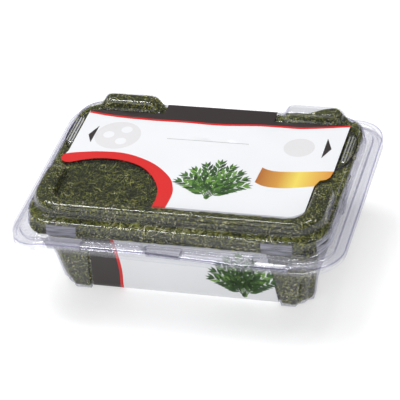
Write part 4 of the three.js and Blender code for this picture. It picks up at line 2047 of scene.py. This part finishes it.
class LeafPrint:
    """Leaves and stems printed on a label, set by Geometry Nodes."""

    def __init__(self, finishes: Finishes) -> None:
        """Builds the leaf shape and the tree.

        Args:
            finishes: The pack's finishes.
        """
        self.leaf = self.leaf_shape()
        nodes = NodeTree("printed leaves", {"Thickness": INK_FILM * MM, "Seed": 3})
        given = nodes.source.outputs
        heading = nodes.add("InputNamedAttribute", {"data_type": "FLOAT"}, Name="heading")
        length = nodes.add("InputNamedAttribute", {"data_type": "FLOAT"}, Name="mark_length")
        width = nodes.add("InputNamedAttribute", {"data_type": "FLOAT"}, Name="mark_width")
        turn = nodes.add("ShaderNodeCombineXYZ", Z=heading.outputs[0])
        size = nodes.add("ShaderNodeCombineXYZ", X=length.outputs[0], Y=width.outputs[0],
                         Z=given["Thickness"])
        shape = nodes.add("ObjectInfo", {"transform_space": "ORIGINAL"}, Object=self.leaf)
        set_out = nodes.add("InstanceOnPoints", Points=given["Geometry"], Instance=shape.outputs["Geometry"],
                            Rotation=turn.outputs[0], Scale=size.outputs[0])
        shade = nodes.chance(given["Seed"], 7, 0.0, 1.0)
        self.tree = nodes.finish(set_out, "leaf_shade", shade, finishes.leaf)

    def leaf_shape(self) -> Piece:
        """A flat closed leaf, one unit in length, width and thickness.

        Returns:
            The hidden source object.
        """
        outline = [(-0.5, 0), (-0.25, -0.36), (0.05, -0.5), (0.5, 0), (0.05, 0.5), (-0.25, 0.36)]
        points = [(x, y, z) for z in (-0.5, 0.5) for x, y in outline]
        faces = [(5, 4, 3, 2, 1, 0), (6, 7, 8, 9, 10, 11)]
        faces.extend((i, (i + 1) % 6, (i + 1) % 6 + 6, i + 6) for i in range(6))
        mesh = bpy.data.meshes.new("leaf")
        mesh.from_pydata(points, [], faces)
        return bpy.data.objects.new("leaf", mesh)

    def build(self, name: str, sprigs: Sequence[Sprig], place: Placing, seed: int) -> Piece:
        """Prints sprigs on a label.

        Args:
            name: Name of the piece.
            sprigs: The sprigs, in the label's flat plan.
            place: Turns flat points, with their height over the label, into points in space.
            seed: Seed of the leaves' shades.

        Returns:
            The finished piece.
        """
        rows = [mark for sprig in sprigs for mark in sprig.marks()]
        cloud = bpy.data.meshes.new(name)
        cloud.from_pydata([(x * MM, y * MM, 0) for x, y, *_ in rows], [], [])
        random = np.random.default_rng(seed)
        columns = {
            "heading": [row[2] + random.uniform(-0.1, 0.1) for row in rows],
            "mark_length": [row[3] * MM for row in rows],
            "mark_width": [row[4] * MM for row in rows],
        }
        for key, values in columns.items():
            cloud.attributes.new(key, "FLOAT", "POINT").data.foreach_set("value", values)
        piece = add_object(name, cloud)
        apply_tree(piece, self.tree, {"Thickness": INK_FILM * MM, "Seed": seed})
        move_points(piece, place(read_rows(piece.data.vertices, "co") / MM) * MM)
        return piece


@dataclass
class TopLabel:
    """The seal label on the lid, with its round window and printed areas."""

    finishes: Finishes
    leaves: LeafPrint
    bottom: float = 30.74
    film: float = 0.1
    front: float = -23.3
    stripe_width: float = 0.95
    wave: float = 0.05

    def window_edge(self) -> Line:
        """Inner edge of the red arc, from its left tail to the front."""
        return curve_through([
            (-39.3, -3.4), (-33.7, -1.0), (-27.9, -0.1), (-21.6, -0.8), (-16.0, -3.4), (-11.6, -7.8),
            (-8.6, -13.2), (-7.7, -18.2), (-8.0, self.front),
        ], 6)

    def arc_edge(self) -> Line:
        """Outer edge of the red arc, from its left tail to the front."""
        return curve_through([
            (-41.9, 0.9), (-38.7, 1.9), (-31.0, 3.2), (-22.8, 3.1), (-13.6, -0.8), (-7.1, -6.5),
            (-4.4, -11.4), (-3.4, -16.3), (-3.8, self.front),
        ], 6)

    def tail(self) -> Line:
        """The round left end of the arc, from its outer to its inner edge."""
        return curve_through([(-41.9, 0.9), (-42.6, -0.6), (-42.2, -2.2), (-41.0, -3.3), (-39.3, -3.4)], 4)

    def red_line(self) -> Line:
        """Upper edge of the thin red line, from left to right."""
        return curve_through([
            (-41.3, 24.1), (-33.7, 22.9), (-24.8, 22.2), (-12.0, 22.2), (-1.0, 22.0), (7.0, 22.4),
            (14.9, 23.2), (22.0, 23.2), (27.3, 23.2), (34.5, 24.6), (41.3, 26.0),
        ], 5)

    def outline(self) -> Line:
        """Outline of the label, counter-clockwise from its front right corner.

        Returns:
            The points.
        """
        corner = curve_through([(32.6, self.front), (35.6, -22.4), (37.0, -19.6), (37.2, -16.0)], 5)
        step = [(37.2, -6.2), (37.7, -4.5), (38.2, -3.0), (39.2, -2.7), (40.0, -2.3), (40.7, -1.4),
                (41.0, -0.3)]
        right = [(41.3, 1.8), (41.3, 26.1), (38.6, 25.5), (17.6, 25.2), (17.5, 30.3)]
        left = [(-17.5, 30.3), (-17.6, 25.2), (-37.6, 25.2), (-41.4, 24.3), (-41.5, 2.4)]
        return [*corner, *step, *right, *left, *self.tail()[:-1], *self.window_edge()]

    def regions(self) -> list[PrintedRegion]:
        """The printed areas.

        Returns:
            The areas, from the lowest to the topmost ink.
        """
        inks = self.finishes
        line = self.red_line()
        header = [*line, (41.4, 31.0), (-41.6, 31.0)]
        stripe = [*[(x, y - self.stripe_width) for x, y in line], *line[::-1]]
        arc = [*self.arc_edge(), *self.window_edge()[::-1], *self.tail()[::-1]]
        ribbon_top = curve_through([
            (19.8, 1.2), (22.0, 0.2), (24.4, -0.2), (28.2, 0.1), (36.4, 1.3), (41.5, 1.9),
        ], 4)
        ribbon_low = curve_through([
            (19.3, -6.3), (21.6, -7.6), (24.0, -8.1), (27.9, -8.1), (31.6, -7.5), (37.6, -6.0),
        ], 4)
        ribbon = [*ribbon_top, (41.5, -5.0), *ribbon_low[::-1]]
        discs = [circle(-28.7, 12.2, 7.2), circle(28.4, 12.6, 4.7)]
        holes = [circle(x, y, 1.75, 20) for x, y in ((-26.7, 15.4), (-31.6, 12.2), (-26.9, 9.2))]
        arrows = [[(-35.9, 16.5), (-38.0, 11.6), (-36.1, 7.5)], [(36.0, 18.3), (36.1, 8.1), (38.2, 13.0)]]
        rule = [(-12.9, 12.2), (12.8, 12.4), (12.8, 12.62), (-12.9, 12.42)]
        return [
            PrintedRegion(header, inks.black),
            PrintedRegion(stripe, inks.red),
            PrintedRegion(arc, inks.red),
            PrintedRegion(ribbon, inks.gold),
            *[PrintedRegion(disc, inks.disc_grey) for disc in discs],
            *[PrintedRegion(hole, inks.white) for hole in holes],
            *[PrintedRegion(arrow, inks.black) for arrow in arrows],
            PrintedRegion(rule, inks.rule_grey),
        ]

    def place(self, flat: Array) -> Array:
        """Lays plan points on the panel, with the film's faint waves.

        Args:
            flat: Rows of x and y, and for ink the height over the label.

        Returns:
            Places in millimetres.
        """
        x, y = flat[:, 0], flat[:, 1]
        wave = self.wave * np.sin(0.35 * x + 0.2 * y) * np.sin(0.31 * y + 1.0) + self.wave
        over = flat[:, 2] + INK_FILM if flat.shape[1] > 2 else 0
        return np.column_stack([x, y, self.bottom + self.film + wave + over])

    def build(self) -> Piece:
        """Builds the label.

        Returns:
            The finished piece, which stands for the top label.
        """
        piece = printed_sheet("seal_label", self.outline(), self.finishes.white, self.regions(), 2.0,
                              self.place, self.film)
        smooth(piece)
        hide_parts("top_label")
        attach(piece, Body.LID.value)
        sprigs = fan_of_sprigs((7.0, -16.0), 17.0, 4.2)
        picture = self.leaves.build("seal_label_sprigs", sprigs, self.place, 8)
        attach(picture, Body.LID.value)
        return piece


@dataclass
class FrontLabel:
    """The label in the tray's front band, which folds under the floor."""

    finishes: Finishes
    tray: TrayShell
    leaves: LeafPrint
    top: float = 22.0
    film: float = 0.1
    gap: float = 0.12
    fold_end: float = -10.0
    bend_steps: int = 8
    half_top: float = 26.9
    half_bottom: float = 28.7
    stripe_width: float = 0.95

    def path(self) -> list[Triple]:
        """Section of the band from the fold's end to the label's top.

        Returns:
            Distance along the film, then y and z, for each point.
        """
        tray = self.tray
        inset = tray.band_depth - self.gap
        radius = tray.edge_radius
        places = [(self.fold_end, inset)]
        floor_front = tray.middle_y - tray.floor_half_depth + inset + radius
        places.append((floor_front, inset))
        for step in range(1, self.bend_steps + 1):
            angle = math.pi / 2 * step / self.bend_steps
            height = radius * (1 - math.cos(angle))
            lean = (tray.rim_half_depth - tray.floor_half_depth) * height / tray.full_height
            y = tray.middle_y - tray.floor_half_depth - lean + inset + radius * (1 - math.sin(angle))
            places.append((y, height + inset))
        lean = (tray.rim_half_depth - tray.floor_half_depth) * self.top / tray.full_height
        places.append((tray.middle_y - tray.floor_half_depth - lean + inset, self.top))
        along, rows = 0.0, []
        for number, (y, z) in enumerate(places):
            if number:
                along += math.hypot(y - places[number - 1][0], z - places[number - 1][1])
            rows.append((along, y, z))
        return rows

    def place(self, flat: Array) -> Array:
        """Bends flat film round the section.

        Args:
            flat: Rows of x and the distance along the film, and for ink the height over it.

        Returns:
            Places in millimetres.
        """
        along, ys, zs = (np.array(column) for column in zip(*self.path()))
        y = np.interp(flat[:, 1], along, ys)
        z = np.interp(flat[:, 1], along, zs)
        over = flat[:, 2] + INK_FILM if flat.shape[1] > 2 else 0
        return np.column_stack([flat[:, 0], y - over, z])

    def build(self) -> Piece:
        """Builds the label.

        Returns:
            The finished piece, which stands for the front label.
        """
        lengths = [row[0] for row in self.path()]
        before_base, base, end = lengths[-3:]
        edge, low = self.half_top, self.half_bottom
        outline = [(-low, 0), (low, 0), (low, before_base), (edge, end), (-edge, end), (-low, before_base)]
        inks = self.finishes
        curve = curve_through([
            (-20.4, end + 0.1), (-19.6, base + 11.5), (-19.5, base + 6.0), (-20.1, base - 0.8), (-21.0, -0.1),
        ], 6)
        black = [*curve, (-low - 1, -0.1), (-low - 1, end + 0.1)]
        stripe = [*curve, *[(x + self.stripe_width, y) for x, y in curve[::-1]]]
        regions = [PrintedRegion(black, inks.black), PrintedRegion(stripe, inks.red)]
        piece = printed_sheet("front_label_film", outline, inks.white, regions, 1.0, self.place, self.film)
        smooth(piece)
        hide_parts("front_label")
        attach(piece, Body.BASE.value)
        sprigs = fan_of_sprigs((18.6, base + 0.5), 15.5, 4.0)
        picture = self.leaves.build("front_label_sprigs", sprigs, self.place, 12)
        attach(picture, Body.BASE.value)
        return piece


@dataclass(frozen=True)
class Lamp:
    """A soft rectangular light: where it hangs, its sides in metres and its power in watts."""

    name: str
    place: Triple
    sides: Pair
    power: float


@dataclass
class Studio:
    """Pale floor, soft lights and the photograph's viewpoint."""

    camera_place: Triple = (0.1674, -0.4770, 0.3844)
    target: Triple = (-0.0019, 0.0041, 0.0147)
    roll_degrees: float = 7.0
    lens: float = 186.0
    lamp_target: Triple = (0.0, 0.0, 0.02)
    lamps: tuple[Lamp, ...] = (
        Lamp("overhead", (0.15, -0.05, 0.95), (0.9, 0.8), 0.6),
        Lamp("key", (-0.45, 0.06, 0.78), (0.44, 0.36), 1.2),
        Lamp("strip", (-0.245, 0.20, 0.78), (0.13, 0.60), 4.2),
        Lamp("right_spot", (0.24, 0.17, 0.80), (0.14, 0.14), 1.2),
        Lamp("front", (-0.15, -1.00, 0.50), (1.5, 0.7), 4.6),
    )

    def camera(self) -> None:
        """Sets up the camera."""
        data = bpy.data.cameras.new("view")
        data.lens = self.lens
        data.sensor_width = 36.0
        data.clip_start = 0.01
        data.clip_end = 20.0
        item = add_object("view", data)
        back = (Vector(self.camera_place) - Vector(self.target)).normalized()
        right = Vector((-back.y, back.x, 0)).normalized()
        up = back.cross(right)
        roll = math.radians(self.roll_degrees)
        local_x = right * math.cos(roll) - up * math.sin(roll)
        local_y = right * math.sin(roll) + up * math.cos(roll)
        turn = Matrix((local_x, local_y, back)).transposed().to_4x4()
        item.matrix_world = Matrix.Translation(self.camera_place) @ turn
        bpy.context.scene.camera = item

    def light(self, lamp: Lamp) -> None:
        """Adds one soft light.

        Args:
            lamp: The light.
        """
        data = bpy.data.lights.new(lamp.name, "AREA")
        data.shape = "RECTANGLE"
        data.size, data.size_y = lamp.sides
        data.energy = lamp.power
        item = add_object(lamp.name, data)
        item.location = lamp.place
        way = Vector(self.lamp_target) - Vector(lamp.place)
        item.rotation_euler = way.to_track_quat("-Z", "Y").to_euler()

    def floor(self) -> None:
        """Adds the pale floor."""
        size = 6.0
        mesh = bpy.data.meshes.new("floor")
        corners = [(-size, -size, 0), (size, -size, 0), (size, size, 0), (-size, size, 0)]
        mesh.from_pydata(corners, [], [(0, 1, 2, 3)])
        item = add_object("floor", mesh)
        shader = Shader("pale floor")
        plain = shader.add("BsdfDiffuse", Color=(0.60, 0.60, 0.60, 1))
        glow = shader.add("Emission", Color=(1, 1, 1, 1), Strength=0.56)
        lit = shader.add("AddShader", i0=plain.outputs[0], i1=glow.outputs[0])
        item.data.materials.append(shader.finish(lit))

    def build(self) -> None:
        """Sets up everything but the pack."""
        self.camera()
        self.floor()
        world = bpy.data.worlds.new("room")
        world.use_nodes = True
        background = world.node_tree.nodes["Background"].inputs
        background["Color"].default_value = (0.97, 0.98, 1.0, 1)
        background["Strength"].default_value = 0.24
        bpy.context.scene.world = world
        bpy.context.scene.view_settings.view_transform = "Standard"
        for lamp in self.lamps:
            self.light(lamp)


def main() -> None:
    """Builds the whole pack."""
    logging.basicConfig(level=logging.INFO, format="%(name)s: %(message)s")
    Studio().build()
    finishes = Finishes()
    flange = FlangeForm()
    tray = TrayShell(finishes, flange)
    leaves = LeafPrint(finishes)
    lid = LidShell(finishes, flange)
    builders = [tray, lid, HingeWeb(finishes), DispensingFlap(finishes, -1),
                DispensingFlap(finishes, 1), TopLabel(finishes, leaves), FrontLabel(finishes, tray, leaves)]
    for builder in builders:
        piece = builder.build()
        LOG.info("%s: %d faces", piece.name, len(piece.data.polygons))
    tree = DillTree(finishes)
    ridge_room = RoundedPlan(44.0, -28.9, -8.2, 9.4, 2.7)
    well = RoundedPlan(38.4, -24.6, 20.0, 5.4, 2.0)
    left_lug = RoundedPlan(10.3, 25.9, 32.1, 1.4, 1.4, -lid.lug_centre)
    right_lug = RoundedPlan(10.3, 25.9, 32.1, 1.4, 1.4, lid.lug_centre)
    in_lid = {"lid": lid, "swell": 0.05}
    masses = [
        TrayDill(finishes, tree, "dill_fill", Body.BASE, (FINE, DUST, LONG, SPECKS), 5, swell=0.5),
        LidDill(finishes, tree, "dill_in_ridge", Body.LID, (DENSE,), 21, voxel=0.5, lumps=0.15,
                plan=ridge_room, hole=well, **in_lid),
        LidDill(finishes, tree, "dill_in_left_lug", Body.LID, (DENSE,), 31, voxel=0.45, lumps=0.1,
                plan=left_lug, clearance=0.36, **in_lid),
        LidDill(finishes, tree, "dill_in_right_lug", Body.LID, (DENSE,), 41, voxel=0.45, lumps=0.5,
                plan=right_lug, clearance=0.36, slump=2.6, **in_lid),
    ]
    for mass in masses:
        for piece in mass.build():
            LOG.info("%s: %d faces", piece.name, len(piece.data.polygons))


if __name__ == "__main__":
    main()
